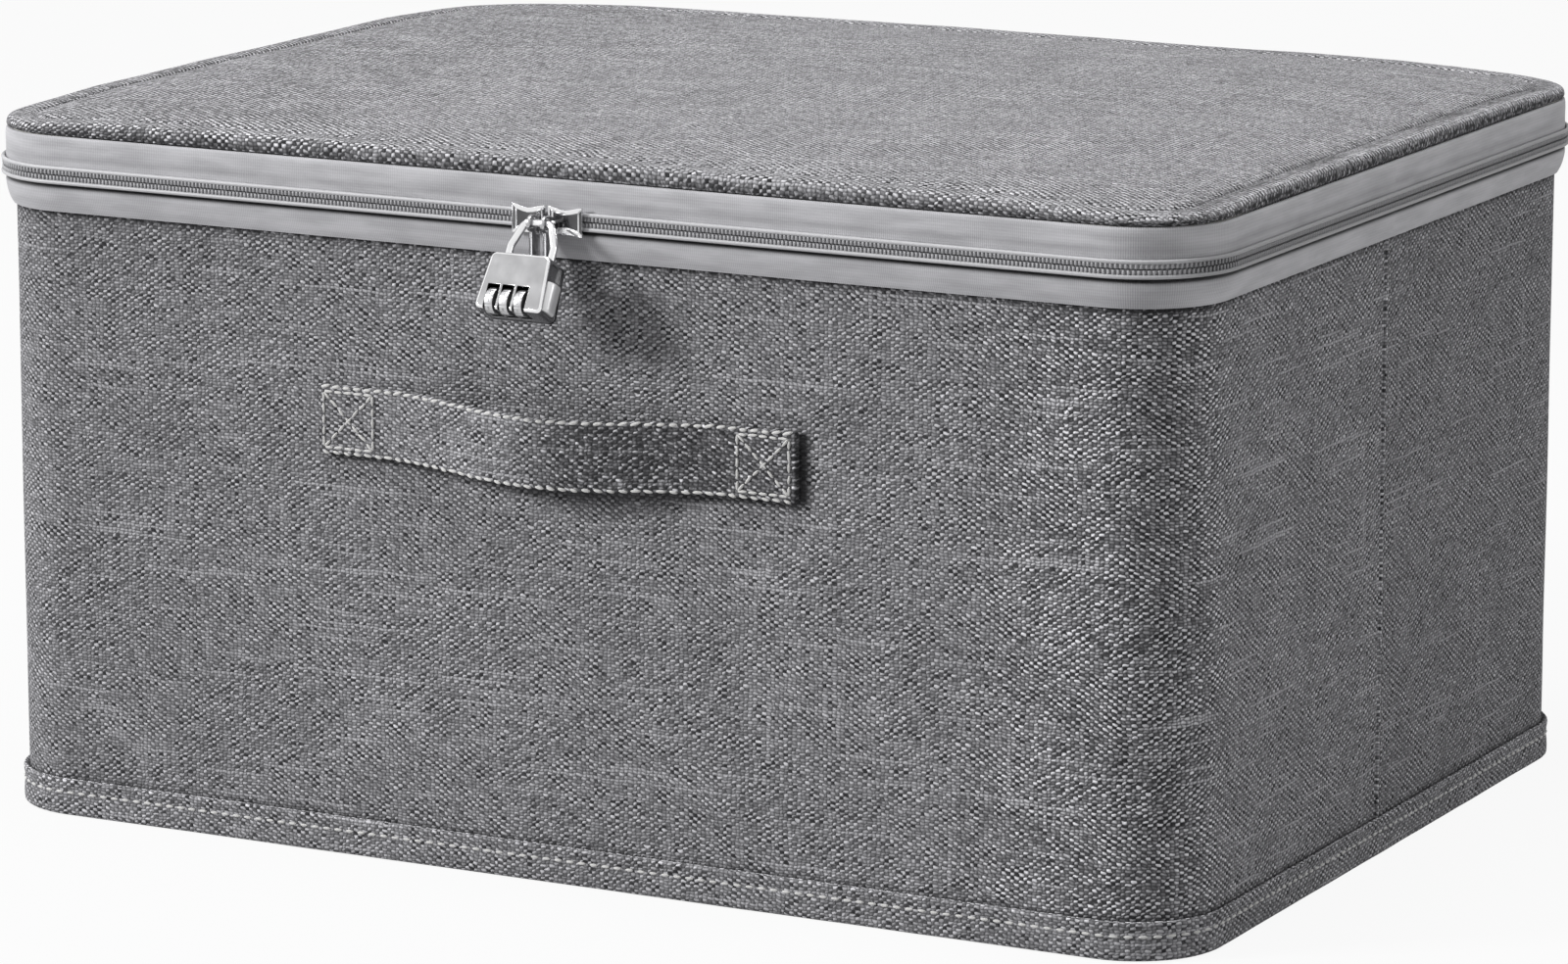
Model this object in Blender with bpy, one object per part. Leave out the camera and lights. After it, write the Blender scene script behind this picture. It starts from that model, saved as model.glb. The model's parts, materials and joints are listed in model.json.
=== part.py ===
# Fireproof document box: padded zip lid, front handle and a small combination padlock.
# Metres, +Z up. The origin is the middle of the underside, and the front faces -Y.

import math

import bmesh
import bpy
from mathutils import Matrix, Vector

# Overall form
BOX_WIDTH = 0.400
BOX_DEPTH = 0.300
CORNER_RADIUS = 0.026
ZIP_HEIGHT = 0.1996
CORNER_STEPS = 6

# Layers of the walls, base and lid
GAP = 0.0003
CLOTH_THICKNESS = 0.0008
BOARD_THICKNESS = 0.0025
FELT_THICKNESS = 0.0040
LINING_THICKNESS = 0.0008
RIM_THICKNESS = 0.0012
RIM_TURN_DOWN = 0.0120
LID_PARTING = 0.0004

# Base binding
BINDING_HEIGHT = 0.0118
BINDING_PROUD = 0.0019
BINDING_THICKNESS = 0.0010
BINDING_TURN_UNDER = 0.0082
BINDING_FOOT_RADIUS = 0.0020
ROUND_CUT = 0.3

# Zip
TAPE_REACH = 0.0116
TAPE_STANDOFF = 0.0030
TAPE_THICKNESS = 0.0012
UPPER_SEWN_EDGE = 0.0019
LOWER_SEWN_EDGE = 0.0055
TAPE_FOLD_DEPTH = 0.7
TAPE_FOLD_DROP = 0.2
TAPE_TURN_DROP = 1.6
COIL_HEIGHT = 0.0027
COIL_DEPTH = 0.0013
COIL_CHAMFER = 0.0004
STOP_LENGTH = 0.0040
HINGE_CLEARANCE = 0.0004

# Padded lid
LID_EDGE_HEIGHT = 0.0168
LID_EDGE_BULGE = 0.0020
LID_EDGE_ROLL = 0.0090
LID_EDGE_PROFILE = ((0.10, 0.72), (0.45, 0.94))
LID_BULGE_RISE = 0.35
LID_CROWN = 0.0048
CROWN_STEPS = 6
CROWN_CORNER_RADIUS = 0.004

# Handle
HANDLE_LENGTH = 0.1600
HANDLE_WIDTH = 0.0206
HANDLE_THICKNESS = 0.0032
HANDLE_HEIGHT = 0.1335
HANDLE_PATCH_LENGTH = 0.0200
HANDLE_BOW = 0.0115
HANDLE_SAG = 0.0012
HANDLE_EDGE = 0.0006
HANDLE_STEPS = 20

# Zip sliders and their pulls
SLIDER_LENGTH = 0.0110
SLIDER_HEIGHT = 0.0086
SLIDER_THICKNESS = 0.0013
SLIDER_FLANGE = 0.0011
NOSE_GAP = 0.0012
BAIL_WIRE = 0.0009
PULL_PLACE = 0.0023
PULL_THICKNESS = 0.0012
PULL_RIM = 0.0010
PULL_LENGTH = 0.0195

# Padlock
SHACKLE_RADIUS = 0.0012
SHACKLE_SPAN = 0.0142
SHACKLE_TOP = 0.0086
SHACKLE_BEND = 0.0026
SHACKLE_RISE = 0.0112
SHACKLE_NECK = 0.0040
LONG_LEG = 0.0070
SHORT_LEG = 0.0034
CASE_TOP_WIDTH = 0.0192
CASE_FOOT_WIDTH = 0.0222
CASE_HEIGHT = 0.0174
CASE_DEPTH = 0.0105
CASE_CORNER = 0.0016
COVER_THICKNESS = 0.0010
LOCK_PITCH = math.radians(30)
DIAL_RADIUS = 0.0039
DIAL_WIDTH = 0.0028
DIAL_PITCH = 0.0048
DIAL_PROUD = 0.0006
DIAL_COUNT = 3
DIAL_STEPS = 20
DIAL_MARGIN = 0.0043
SPINDLE_RADIUS = 0.0008
SPINDLE_LANDING = 0.0005
BUTTON_WIDTH = 0.0060
BUTTON_HEIGHT = 0.0090
BUTTON_PROUD = 0.0014
BUTTON_TRAVEL = 0.0012
BUTTON_PLACE = 0.0058
BUTTON_LENGTH = 0.0026
LATCH_HEIGHT = 0.0020
LATCH_WIDTH = 0.0026
ROUND_STEPS = 12
SMOOTH_ANGLE = math.radians(38)

# Places worked out from the sizes above
WALL_FRONT = -BOX_DEPTH / 2
BOARD_INSET = CLOTH_THICKNESS + GAP
FELT_INSET = BOARD_INSET + BOARD_THICKNESS + GAP
LINING_INSET = FELT_INSET + FELT_THICKNESS + GAP
RIM_LEG_INSET = LINING_INSET + LINING_THICKNESS + GAP
RIM_TOP = ZIP_HEIGHT - LID_PARTING
WALL_TOP = RIM_TOP - RIM_THICKNESS - GAP
BASE_BOARD_FOOT = max(BINDING_THICKNESS, CLOTH_THICKNESS) + GAP
BASE_FELT_FOOT = BASE_BOARD_FOOT + BOARD_THICKNESS + GAP
BASE_LINING_FOOT = BASE_FELT_FOOT + FELT_THICKNESS + GAP
LID_FOOT = ZIP_HEIGHT + LID_PARTING
COIL_BACK = TAPE_STANDOFF + GAP
COIL_FRONT = COIL_BACK + COIL_DEPTH
HINGE_AXIS = Vector((0, BOX_DEPTH / 2 + COIL_FRONT + HINGE_CLEARANCE, ZIP_HEIGHT))
STRAIGHT_BACK = BOX_WIDTH / 2 - CORNER_RADIUS
SLIDER_BACK = WALL_FRONT - COIL_FRONT - GAP
SLIDER_FRONT = SLIDER_BACK - SLIDER_THICKNESS
BAIL_REACH = GAP + PULL_RIM + GAP + BAIL_WIRE
PULL_AXIS = Vector((0, SLIDER_FRONT - BAIL_REACH + BAIL_WIRE / 2, ZIP_HEIGHT))
PULL_EYE = BAIL_WIRE / 2 + GAP
SHACKLE_AXIS = PULL_AXIS - Vector((0, BAIL_WIRE / 2 + 2 * GAP + SHACKLE_RADIUS, GAP))
CASE_TOP = -SHACKLE_RISE
CASE_FOOT = CASE_TOP - CASE_HEIGHT
CASE_FRONT = -CASE_DEPTH / 2
CASE_BACK = CASE_DEPTH / 2 - COVER_THICKNESS - GAP
DIAL_Y = CASE_FRONT + DIAL_RADIUS - DIAL_PROUD
DIAL_Z = CASE_FOOT + DIAL_RADIUS - DIAL_PROUD


def clear_scene():
    for item in list(bpy.data.objects):
        bpy.data.objects.remove(item)


def finish(name, colour, roughness, metallic):
    material = bpy.data.materials.new(name + "_finish")
    material.use_nodes = True
    shader = material.node_tree.nodes["Principled BSDF"]
    shader.inputs["Base Color"].default_value = (*colour, 1)
    shader.inputs["Roughness"].default_value = roughness
    shader.inputs["Metallic"].default_value = metallic
    return material


LINEN = ((0.19, 0.19, 0.20), 0.95, 0.0)
LID_LINEN = ((0.27, 0.27, 0.28), 0.95, 0.0)
TAPE = ((0.40, 0.40, 0.42), 0.85, 0.0)
COIL = ((0.34, 0.34, 0.36), 0.45, 0.0)
BOARD = ((0.30, 0.24, 0.17), 0.90, 0.0)
FELT = ((0.75, 0.74, 0.70), 1.0, 0.0)
FOIL = ((0.62, 0.63, 0.65), 0.40, 0.6)
FOAM = ((0.82, 0.81, 0.76), 1.0, 0.0)
CHROME = ((0.74, 0.74, 0.75), 0.16, 1.0)
STEEL = ((0.55, 0.55, 0.57), 0.35, 1.0)


def make_object(name, bm, look, parent=None, place=(0, 0, 0)):
    bmesh.ops.recalc_face_normals(bm, faces=bm.faces)
    mesh = bpy.data.meshes.new(name)
    bm.to_mesh(mesh)
    bm.free()
    mesh.shade_smooth()
    mesh.set_sharp_from_angle(angle=SMOOTH_ANGLE)
    item = bpy.data.objects.new(name, mesh)
    bpy.context.collection.objects.link(item)
    mesh.materials.append(finish(name, *look))
    item.parent = parent
    item.location = place
    return item


def make_pivot(name, place, turn=(0, 0, 0)):
    pivot = bpy.data.objects.new(name, None)
    pivot.location = place
    pivot.rotation_euler = turn
    bpy.context.collection.objects.link(pivot)
    return pivot


def combine(item, tool, operation):
    modifier = item.modifiers.new(operation.lower(), "BOOLEAN")
    modifier.operation = operation
    modifier.object = tool
    tool.hide_render = True
    tool.display_type = "WIRE"


# The outline of the box at an inset from the wall's face, from the back left corner round the front.
def outline_ring(inset, z):
    half_x = BOX_WIDTH / 2 - inset
    half_y = BOX_DEPTH / 2 - inset
    radius = max(CORNER_RADIUS - inset, CROWN_CORNER_RADIUS)
    ring = []
    for start, side_x, side_y in ((90, -1, 1), (180, -1, -1), (270, 1, -1), (0, 1, 1)):
        for step in range(CORNER_STEPS + 1):
            angle = math.radians(start + 90 * step / CORNER_STEPS)
            x = side_x * (half_x - radius) + radius * math.cos(angle)
            y = side_y * (half_y - radius) + radius * math.sin(angle)
            ring.append((x, y, z))
    return ring


# Skins rings of equal count; each ring is a closed loop, and the first and last are filled.
def loft(rings):
    bm = bmesh.new()
    rows = [[bm.verts.new(point) for point in ring] for ring in rings]
    for row, following in zip(rows, rows[1:]):
        for step in range(len(row)):
            after = (step + 1) % len(row)
            bm.faces.new((row[step], row[after], following[after], following[step]))
    bm.faces.new(rows[0])
    bm.faces.new(rows[-1])
    return bm


# Carries a closed (inset, z) section right round the box.
def sleeve(section):
    bm = loft([outline_ring(inset, z) for inset, z in section + section[:1]])
    bmesh.ops.delete(bm, geom=[face for face in bm.faces if len(face.verts) > 4], context="FACES_ONLY")
    bmesh.ops.remove_doubles(bm, verts=bm.verts, dist=1e-6)
    return bm


# Carries a section round three sides, open along the straight part of the back.
def wrap(section):
    rings = [outline_ring(inset, z) for inset, z in section]
    return loft([list(points) for points in zip(*rings)])


# Carries a section along the straight part of the back.
def back_strip(section):
    half = STRAIGHT_BACK - GAP
    return loft([[(x, BOX_DEPTH / 2 - inset, z) for inset, z in section] for x in (-half, half)])


def slab(inset, foot, top):
    return loft([outline_ring(inset, foot), outline_ring(inset, top)])


def block(low, high):
    bm = bmesh.new()
    middle = (Vector(low) + Vector(high)) / 2
    size = Vector(high) - Vector(low)
    matrix = Matrix.Translation(middle) @ Matrix.Diagonal((*size, 1))
    bmesh.ops.create_cube(bm, size=1, matrix=matrix)
    return bm


# A round bar along X.
def bar(radius, low, high, steps=ROUND_STEPS):
    rings = []
    for x in (low, high):
        turns = [2 * math.pi * step / steps for step in range(steps)]
        rings.append([(x, radius * math.cos(turn), radius * math.sin(turn)) for turn in turns])
    return loft(rings)


def arc(centre, radius, start, end, steps):
    points = []
    for step in range(steps + 1):
        angle = start + (end - start) * step / steps
        points.append((centre[0] + radius * math.cos(angle), centre[1] + radius * math.sin(angle)))
    return points


# Replaces each inner corner of a flat path by an arc.
def rounded_path(points, radius, steps=5):
    path = [points[0]]
    for before, corner, after in zip(points, points[1:], points[2:]):
        corner = Vector(corner)
        arrive = (corner - Vector(before)).normalized()
        leave = (Vector(after) - corner).normalized()
        turn = arrive.angle(leave)
        reach = radius * math.tan(turn / 2)
        start = corner - arrive * reach
        side = (leave - arrive).normalized()
        centre = corner + side * (radius / math.cos(turn / 2))
        first = start - centre
        for step in range(steps + 1):
            share = turn * step / steps
            swing = first * math.cos(share) + arrive * radius * math.sin(share)
            path.append(tuple(centre + swing))
    path.append(points[-1])
    return path


# A flat plate with a hole, drawn in the YZ plane and as thick as given along X.
def plate(outline, hole, thickness):
    bm = bmesh.new()
    for loop in (outline, hole):
        corners = [bm.verts.new((-thickness / 2, y, z)) for y, z in loop]
        for corner, following in zip(corners, corners[1:] + corners[:1]):
            bm.edges.new((corner, following))
    bmesh.ops.triangle_fill(bm, edges=bm.edges, use_beauty=True)
    grown = bmesh.ops.extrude_face_region(bm, geom=bm.faces[:])
    moved = [item for item in grown["geom"] if isinstance(item, bmesh.types.BMVert)]
    bmesh.ops.translate(bm, verts=moved, vec=(thickness, 0, 0))
    return bm


# The section of a sewn tape: flat along the chain, with its far edge turned in to the wall.
def tape_section(side):
    face = -TAPE_STANDOFF
    back = face + TAPE_THICKNESS
    start = ZIP_HEIGHT + side * LID_PARTING
    far = ZIP_HEIGHT + side * TAPE_REACH
    edge = UPPER_SEWN_EDGE if side > 0 else -LOWER_SEWN_EDGE
    return [
        (face, start),
        (face, far - edge),
        (face + TAPE_THICKNESS * TAPE_FOLD_DEPTH, far - edge * TAPE_FOLD_DROP),
        (-GAP, far),
        (-GAP, far - edge),
        (back, far - edge * TAPE_TURN_DROP),
        (back, start),
    ]


def coil_section(side):
    near = ZIP_HEIGHT + side * GAP / 2
    far = near + side * COIL_HEIGHT
    cut = side * COIL_CHAMFER
    return [
        (-COIL_BACK, near),
        (-COIL_FRONT + COIL_CHAMFER, near),
        (-COIL_FRONT, near + cut),
        (-COIL_FRONT, far - cut),
        (-COIL_FRONT + COIL_CHAMFER, far),
        (-COIL_BACK, far),
    ]


def make_base():
    make_object("base_cloth", slab(BINDING_TURN_UNDER + GAP, 0, CLOTH_THICKNESS), LINEN)
    out = -BINDING_PROUD
    foot = BINDING_FOOT_RADIUS
    hem = BINDING_THICKNESS / 2
    binding = [
        (BINDING_TURN_UNDER, 0),
        (out + foot, 0),
        (out + foot * ROUND_CUT, foot * ROUND_CUT),
        (out, foot),
        (out, BINDING_HEIGHT - hem),
        (out + hem, BINDING_HEIGHT),
        (-GAP, BINDING_HEIGHT),
        (-GAP, BINDING_THICKNESS),
        (BINDING_TURN_UNDER, BINDING_THICKNESS),
    ]
    make_object("base_binding", sleeve(binding), LINEN)
    board = slab(BOARD_INSET, BASE_BOARD_FOOT, BASE_BOARD_FOOT + BOARD_THICKNESS)
    make_object("base_board", board, BOARD)
    felt = slab(FELT_INSET, BASE_FELT_FOOT, BASE_FELT_FOOT + FELT_THICKNESS)
    make_object("base_felt", felt, FELT)


def upright(inset, thickness, foot):
    far = inset + thickness
    return sleeve([(inset, foot), (inset, WALL_TOP), (far, WALL_TOP), (far, foot)])


def make_walls():
    make_object("wall_cloth", upright(0, CLOTH_THICKNESS, BASE_BOARD_FOOT), LINEN)
    make_object("wall_board", upright(BOARD_INSET, BOARD_THICKNESS, BASE_FELT_FOOT), BOARD)
    make_object("wall_felt", upright(FELT_INSET, FELT_THICKNESS, BASE_LINING_FOOT), FELT)
    inner = LINING_INSET + LINING_THICKNESS
    floor = BASE_LINING_FOOT + LINING_THICKNESS
    tub = [(inner, floor), (inner, WALL_TOP), (LINING_INSET, WALL_TOP), (LINING_INSET, BASE_LINING_FOOT)]
    make_object("lining_tub", loft([outline_ring(*point) for point in tub]), FOIL)
    rim_foot = RIM_TOP - RIM_THICKNESS
    leg_foot = RIM_TOP - RIM_TURN_DOWN
    rim = [
        (0, rim_foot),
        (0, RIM_TOP),
        (RIM_LEG_INSET + CLOTH_THICKNESS, RIM_TOP),
        (RIM_LEG_INSET + CLOTH_THICKNESS, leg_foot),
        (RIM_LEG_INSET, leg_foot),
        (RIM_LEG_INSET, rim_foot),
    ]
    make_object("rim_binding", sleeve(rim), TAPE)


def make_zip_half(word, side, parent, place):
    make_object(word + "_tape", wrap(tape_section(side)), TAPE, parent, place)
    make_object(word + "_coil", wrap(coil_section(side)), COIL, parent, place)
    make_object("hinge_" + word, back_strip(tape_section(side)), TAPE, parent, place)


def make_zip_stops():
    near = BOX_DEPTH / 2 + COIL_BACK
    far = BOX_DEPTH / 2 + COIL_FRONT
    top = ZIP_HEIGHT - GAP / 2
    for word, side in (("left", -1), ("right", 1)):
        ends = sorted((side * (STRAIGHT_BACK - GAP), side * (STRAIGHT_BACK - GAP - STOP_LENGTH)))
        stop = block((ends[0], near, top - COIL_HEIGHT), (ends[1], far, top))
        make_object("zip_stop_" + word, stop, STEEL)


# Rings of the lid's outer skin, thinned inwards by depth, from the skirt to the middle of the crown.
def lid_rings(depth, foot):
    edge = ZIP_HEIGHT + LID_EDGE_HEIGHT
    skirt = ZIP_HEIGHT + TAPE_REACH + GAP
    rise = edge - skirt
    section = [
        (0, foot),
        (0, skirt),
        (-LID_EDGE_BULGE, skirt + rise * LID_BULGE_RISE),
    ]
    for inward, upward in LID_EDGE_PROFILE:
        section.append((LID_EDGE_ROLL * inward, skirt + rise * upward))
    section.append((LID_EDGE_ROLL, edge))
    span = BOX_DEPTH / 2 - LID_EDGE_ROLL
    for step in range(1, CROWN_STEPS + 1):
        share = step / (CROWN_STEPS + 1)
        height = edge + LID_CROWN * (1 - (1 - share) ** 2)
        section.append((LID_EDGE_ROLL + span * share, height))
    rings = [outline_ring(section[0][0] + depth, foot)]
    for inset, z in section[1:]:
        rings.append(outline_ring(inset + depth, z - depth * (inset > 0)))
    return rings


def make_lid(pivot):
    place = -pivot.location
    outer = lid_rings(0, LID_FOOT)
    inner = lid_rings(CLOTH_THICKNESS, LID_FOOT)
    make_object("lid_cloth", loft(inner[::-1] + outer), LID_LINEN, pivot, place)
    foot = LID_FOOT
    layers = (("lid_lining", LINING_THICKNESS, FOIL), ("lid_felt", FELT_THICKNESS, FELT))
    for name, thickness, look in layers + (("lid_board", BOARD_THICKNESS, BOARD),):
        make_object(name, slab(BOARD_INSET, foot, foot + thickness), look, pivot, place)
        foot += thickness + GAP
    make_object("lid_pad", loft(lid_rings(BOARD_INSET, foot)), FOAM, pivot, place)
    make_zip_half("upper", 1, pivot, place)


def make_handle():
    back = WALL_FRONT - GAP
    half = HANDLE_LENGTH / 2
    low = HANDLE_HEIGHT - HANDLE_WIDTH / 2
    high = HANDLE_HEIGHT + HANDLE_WIDTH / 2
    for word, side in (("left", -1), ("right", 1)):
        ends = sorted((side * half, side * (half - HANDLE_PATCH_LENGTH)))
        patch = block((ends[0], back - HANDLE_THICKNESS, low), (ends[1], back, high))
        corners = [edge for edge in patch.edges if abs(edge.verts[0].co.y - edge.verts[1].co.y) > GAP]
        bmesh.ops.bevel(patch, geom=corners, offset=HANDLE_EDGE, segments=2, profile=0.5, affect="EDGES")
        make_object("handle_patch_" + word, patch, LINEN)
    pivot = make_pivot("handle_axis", (0, back, high))
    reach = half - HANDLE_PATCH_LENGTH - GAP
    rings = []
    for step in range(HANDLE_STEPS + 1):
        x = reach * (2 * step / HANDLE_STEPS - 1)
        lift = math.cos(math.pi * x / (2 * reach)) ** 2
        y = back - HANDLE_BOW * lift
        drop = HANDLE_SAG * lift
        section = [
            (y, low - drop + HANDLE_EDGE),
            (y - HANDLE_EDGE, low - drop),
            (y - HANDLE_THICKNESS + HANDLE_EDGE, low - drop),
            (y - HANDLE_THICKNESS, low - drop + HANDLE_EDGE),
            (y - HANDLE_THICKNESS, high - drop - HANDLE_EDGE),
            (y - HANDLE_THICKNESS + HANDLE_EDGE, high - drop),
            (y - HANDLE_EDGE, high - drop),
            (y, high - drop - HANDLE_EDGE),
        ]
        rings.append([(x, *point) for point in section])
    make_object("handle_strap", loft(rings), LINEN, pivot, -pivot.location)


# A slider, drawn about the middle of its nose: a plate over the chain, a flange under it and a wire bail.
def make_slider(word, side):
    front = SLIDER_FRONT
    half = SLIDER_HEIGHT / 2
    flange_back = WALL_FRONT - COIL_BACK
    section = [
        (SLIDER_BACK, half),
        (front, half),
        (front, -half),
        (flange_back, -half),
        (flange_back, SLIDER_FLANGE - half),
        (SLIDER_BACK, SLIDER_FLANGE - half),
    ]
    nose = side * NOSE_GAP / 2
    tail = side * (NOSE_GAP / 2 + SLIDER_LENGTH)
    body = loft([[(x, y, z) for y, z in section] for x in (nose, tail)])
    slider = make_object("slider_" + word, body, CHROME, None, (0, 0, ZIP_HEIGHT))
    inside = PULL_THICKNESS / 2 + GAP
    far = front - BAIL_REACH
    rooted = front + SLIDER_THICKNESS / 2
    bail_path = [
        (side * (PULL_PLACE - inside), rooted),
        (side * (PULL_PLACE - inside), far + BAIL_WIRE),
        (side * (PULL_PLACE + inside), far + BAIL_WIRE),
        (side * (PULL_PLACE + inside), rooted),
        (side * (PULL_PLACE + inside + BAIL_WIRE), rooted),
        (side * (PULL_PLACE + inside + BAIL_WIRE), far),
        (side * (PULL_PLACE - inside - BAIL_WIRE), far),
        (side * (PULL_PLACE - inside - BAIL_WIRE), rooted),
    ]
    levels = (-BAIL_WIRE / 2, BAIL_WIRE / 2)
    bail = loft([[(x, y, z) for x, y in bail_path] for z in levels])
    tool = make_object("bail_" + word, bail, CHROME, None, (0, 0, ZIP_HEIGHT))
    combine(slider, tool, "UNION")


# The outline round two circles, in the YZ plane about the first circle's centre.
def round_link(far, near_radius, far_radius):
    lie = math.atan2(far[1], far[0])
    spread = math.acos((near_radius - far_radius) / math.hypot(*far))
    near = arc((0, 0), near_radius, lie + spread, lie - spread + 2 * math.pi, ROUND_STEPS)
    return near + arc(far, far_radius, lie - spread, lie + spread, ROUND_STEPS)


# The back edge of the case's top, where the hanging padlock leans on the pulls.
def leaning_edge():
    turn = Matrix.Rotation(-LOCK_PITCH, 3, "X")
    return SHACKLE_AXIS + turn @ Vector((0, CASE_DEPTH / 2, CASE_TOP))


def make_pull(word, side):
    far = tuple(SHACKLE_AXIS - PULL_AXIS)[1:]
    eye = round_link(far, PULL_EYE, SHACKLE_RADIUS + GAP)
    ring_near = PULL_EYE + PULL_RIM
    ring_far = SHACKLE_RADIUS + GAP + PULL_RIM
    lie = math.atan2(far[1], far[0])
    spread = math.acos((ring_near - ring_far) / math.hypot(*far))
    tab_front = leaning_edge().y - PULL_AXIS.y + GAP
    tab_middle = (tab_front + ring_near) / 2
    tab_radius = (ring_near - tab_front) / 2
    meet = -math.acos(max(-1, (tab_front - far[0]) / ring_far))
    tip = (tab_middle, tab_radius - PULL_LENGTH)
    outline = arc((0, 0), ring_near, 0, lie - spread + 2 * math.pi, ROUND_STEPS // 2)
    outline += arc(far, ring_far, lie - spread + 2 * math.pi, meet + 2 * math.pi, ROUND_STEPS)
    outline += arc(tip, tab_radius, math.pi, 2 * math.pi, ROUND_STEPS)
    place = PULL_AXIS + Vector((side * PULL_PLACE, 0, 0))
    make_object("pull_" + word, plate(outline, eye, PULL_THICKNESS), STEEL, None, place)


def make_shackle(pivot):
    half_span = SHACKLE_SPAN / 2
    half_top = SHACKLE_TOP / 2
    neck = CASE_TOP + SHACKLE_NECK
    bends = [(-half_span, neck), (-half_top, 0), (half_top, 0), (half_span, neck)]
    legs = [(-half_span, CASE_TOP - LONG_LEG)] + bends + [(half_span, CASE_TOP - SHORT_LEG)]
    path = [Vector(point) for point in rounded_path(legs, SHACKLE_BEND)]
    rings = []
    for step, point in enumerate(path):
        ahead = path[min(step + 1, len(path) - 1)]
        behind = path[max(step - 1, 0)]
        along = (ahead - behind).normalized()
        turns = [2 * math.pi * share / ROUND_STEPS for share in range(ROUND_STEPS)]
        ring = []
        for turn in turns:
            out = SHACKLE_RADIUS * math.cos(turn)
            ring.append((point.x + along.y * out, SHACKLE_RADIUS * math.sin(turn), point.y - along.x * out))
        rings.append(ring)
    make_object("shackle", loft(rings), CHROME, pivot)


# Half the case's width at a height, along its tapered sides.
def case_half_width(z):
    share = (CASE_TOP - z) / CASE_HEIGHT
    return (CASE_TOP_WIDTH + (CASE_FOOT_WIDTH - CASE_TOP_WIDTH) * share) / 2


def case_block(front, back):
    corners = []
    for x, z in ((1, CASE_FOOT), (1, CASE_TOP), (-1, CASE_TOP), (-1, CASE_FOOT)):
        corners.append((x * case_half_width(z), z))
    middle = (0, CASE_FOOT)
    path = rounded_path([middle] + corners + [middle], CASE_CORNER, 3)[1:-1]
    return loft([[(x, y, z) for x, z in path] for y in (front, back)])


def dial_place(number):
    return DIAL_MARGIN - case_half_width(DIAL_Z) + DIAL_PITCH * number


def cut_case(case, pivot, name, tool, place=(0, 0, 0)):
    combine(case, make_object("cut_" + name, tool, STEEL, pivot, place), "DIFFERENCE")


def make_case(pivot):
    case = make_object("lock_case", case_block(CASE_FRONT, CASE_BACK), CHROME, pivot)
    cover = case_block(CASE_BACK + GAP, CASE_DEPTH / 2)
    make_object("lock_cover", cover, CHROME, pivot)
    past = DIAL_RADIUS
    half_slot = DIAL_WIDTH / 2 + GAP
    for number in range(DIAL_COUNT):
        x = dial_place(number)
        low = (x - half_slot, CASE_FRONT - past, CASE_FOOT - past)
        high = (x + half_slot, DIAL_Y + DIAL_RADIUS + GAP, DIAL_Z + DIAL_RADIUS + GAP)
        cut_case(case, pivot, "dial_%d" % (number + 1), block(low, high))
    spindle_end = dial_place(DIAL_COUNT - 1) + half_slot + SPINDLE_LANDING
    bore = bar(SPINDLE_RADIUS + GAP, -CASE_FOOT_WIDTH, spindle_end + GAP)
    cut_case(case, pivot, "spindle", bore, (0, DIAL_Y, DIAL_Z))
    spindle = bar(SPINDLE_RADIUS, GAP - case_half_width(DIAL_Z), spindle_end)
    make_object("dial_spindle", spindle, STEEL, pivot, (0, DIAL_Y, DIAL_Z))
    for word, side, leg in (("long", -1, LONG_LEG), ("short", 1, SHORT_LEG)):
        socket = bar(SHACKLE_RADIUS + GAP, -leg - GAP, leg)
        bmesh.ops.rotate(socket, verts=socket.verts, matrix=Matrix.Rotation(-math.pi / 2, 3, "Y"))
        cut_case(case, pivot, word + "_leg", socket, (side * SHACKLE_SPAN / 2, 0, CASE_TOP))


def make_dials(pivot):
    for number in range(DIAL_COUNT):
        dial = bar(DIAL_RADIUS, -DIAL_WIDTH / 2, DIAL_WIDTH / 2, DIAL_STEPS)
        place = (dial_place(number), DIAL_Y, DIAL_Z)
        name = "dial_%d" % (number + 1)
        item = make_object(name, dial, STEEL, pivot, place)
        tool = bar(SPINDLE_RADIUS + GAP, -DIAL_WIDTH, DIAL_WIDTH)
        combine(item, make_object(name + "_bore", tool, STEEL, pivot, place), "DIFFERENCE")


def make_button(case, pivot):
    height = CASE_FOOT + BUTTON_PLACE
    side = case_half_width(height)
    inner = side - BUTTON_LENGTH
    half_y = BUTTON_WIDTH / 2
    half_z = BUTTON_HEIGHT / 2
    low = (inner, -half_y, -half_z)
    button = block(low, (side + BUTTON_PROUD, half_y, half_z))
    make_object("release_button", button, CHROME, pivot, (0, 0, height))
    low = (inner - BUTTON_TRAVEL - GAP, -half_y - GAP, -half_z - GAP)
    pocket = block(low, (side + BUTTON_LENGTH, half_y + GAP, half_z + GAP))
    cut_case(case, pivot, "button", pocket, (0, 0, height))


# The bolt under the shackle's short leg, let into the case from behind.
def make_latch(case, pivot):
    x = SHACKLE_SPAN / 2
    top = CASE_TOP - SHORT_LEG - GAP
    low = Vector((x - LATCH_WIDTH / 2, -SHACKLE_RADIUS, top - LATCH_HEIGHT))
    high = Vector((x + LATCH_WIDTH / 2, CASE_BACK, top))
    make_object("lock_latch", block(low, high), STEEL, pivot)
    room = Vector((GAP, GAP, GAP))
    tool = block(low - room, high + room + Vector((0, GAP, GAP)))
    cut_case(case, pivot, "latch", tool)


def make_padlock():
    pivot = make_pivot("padlock_axis", SHACKLE_AXIS, (-LOCK_PITCH, 0, 0))
    make_shackle(pivot)
    make_case(pivot)
    case = bpy.data.objects["lock_case"]
    make_button(case, pivot)
    make_latch(case, pivot)
    make_dials(pivot)


def main():
    clear_scene()
    make_base()
    make_walls()
    make_zip_half("lower", -1, None, (0, 0, 0))
    make_zip_stops()
    make_lid(make_pivot("lid_axis", HINGE_AXIS))
    make_handle()
    for word, side in (("left", -1), ("right", 1)):
        make_slider(word, side)
        make_pull(word, side)
    make_padlock()


main()
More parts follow.
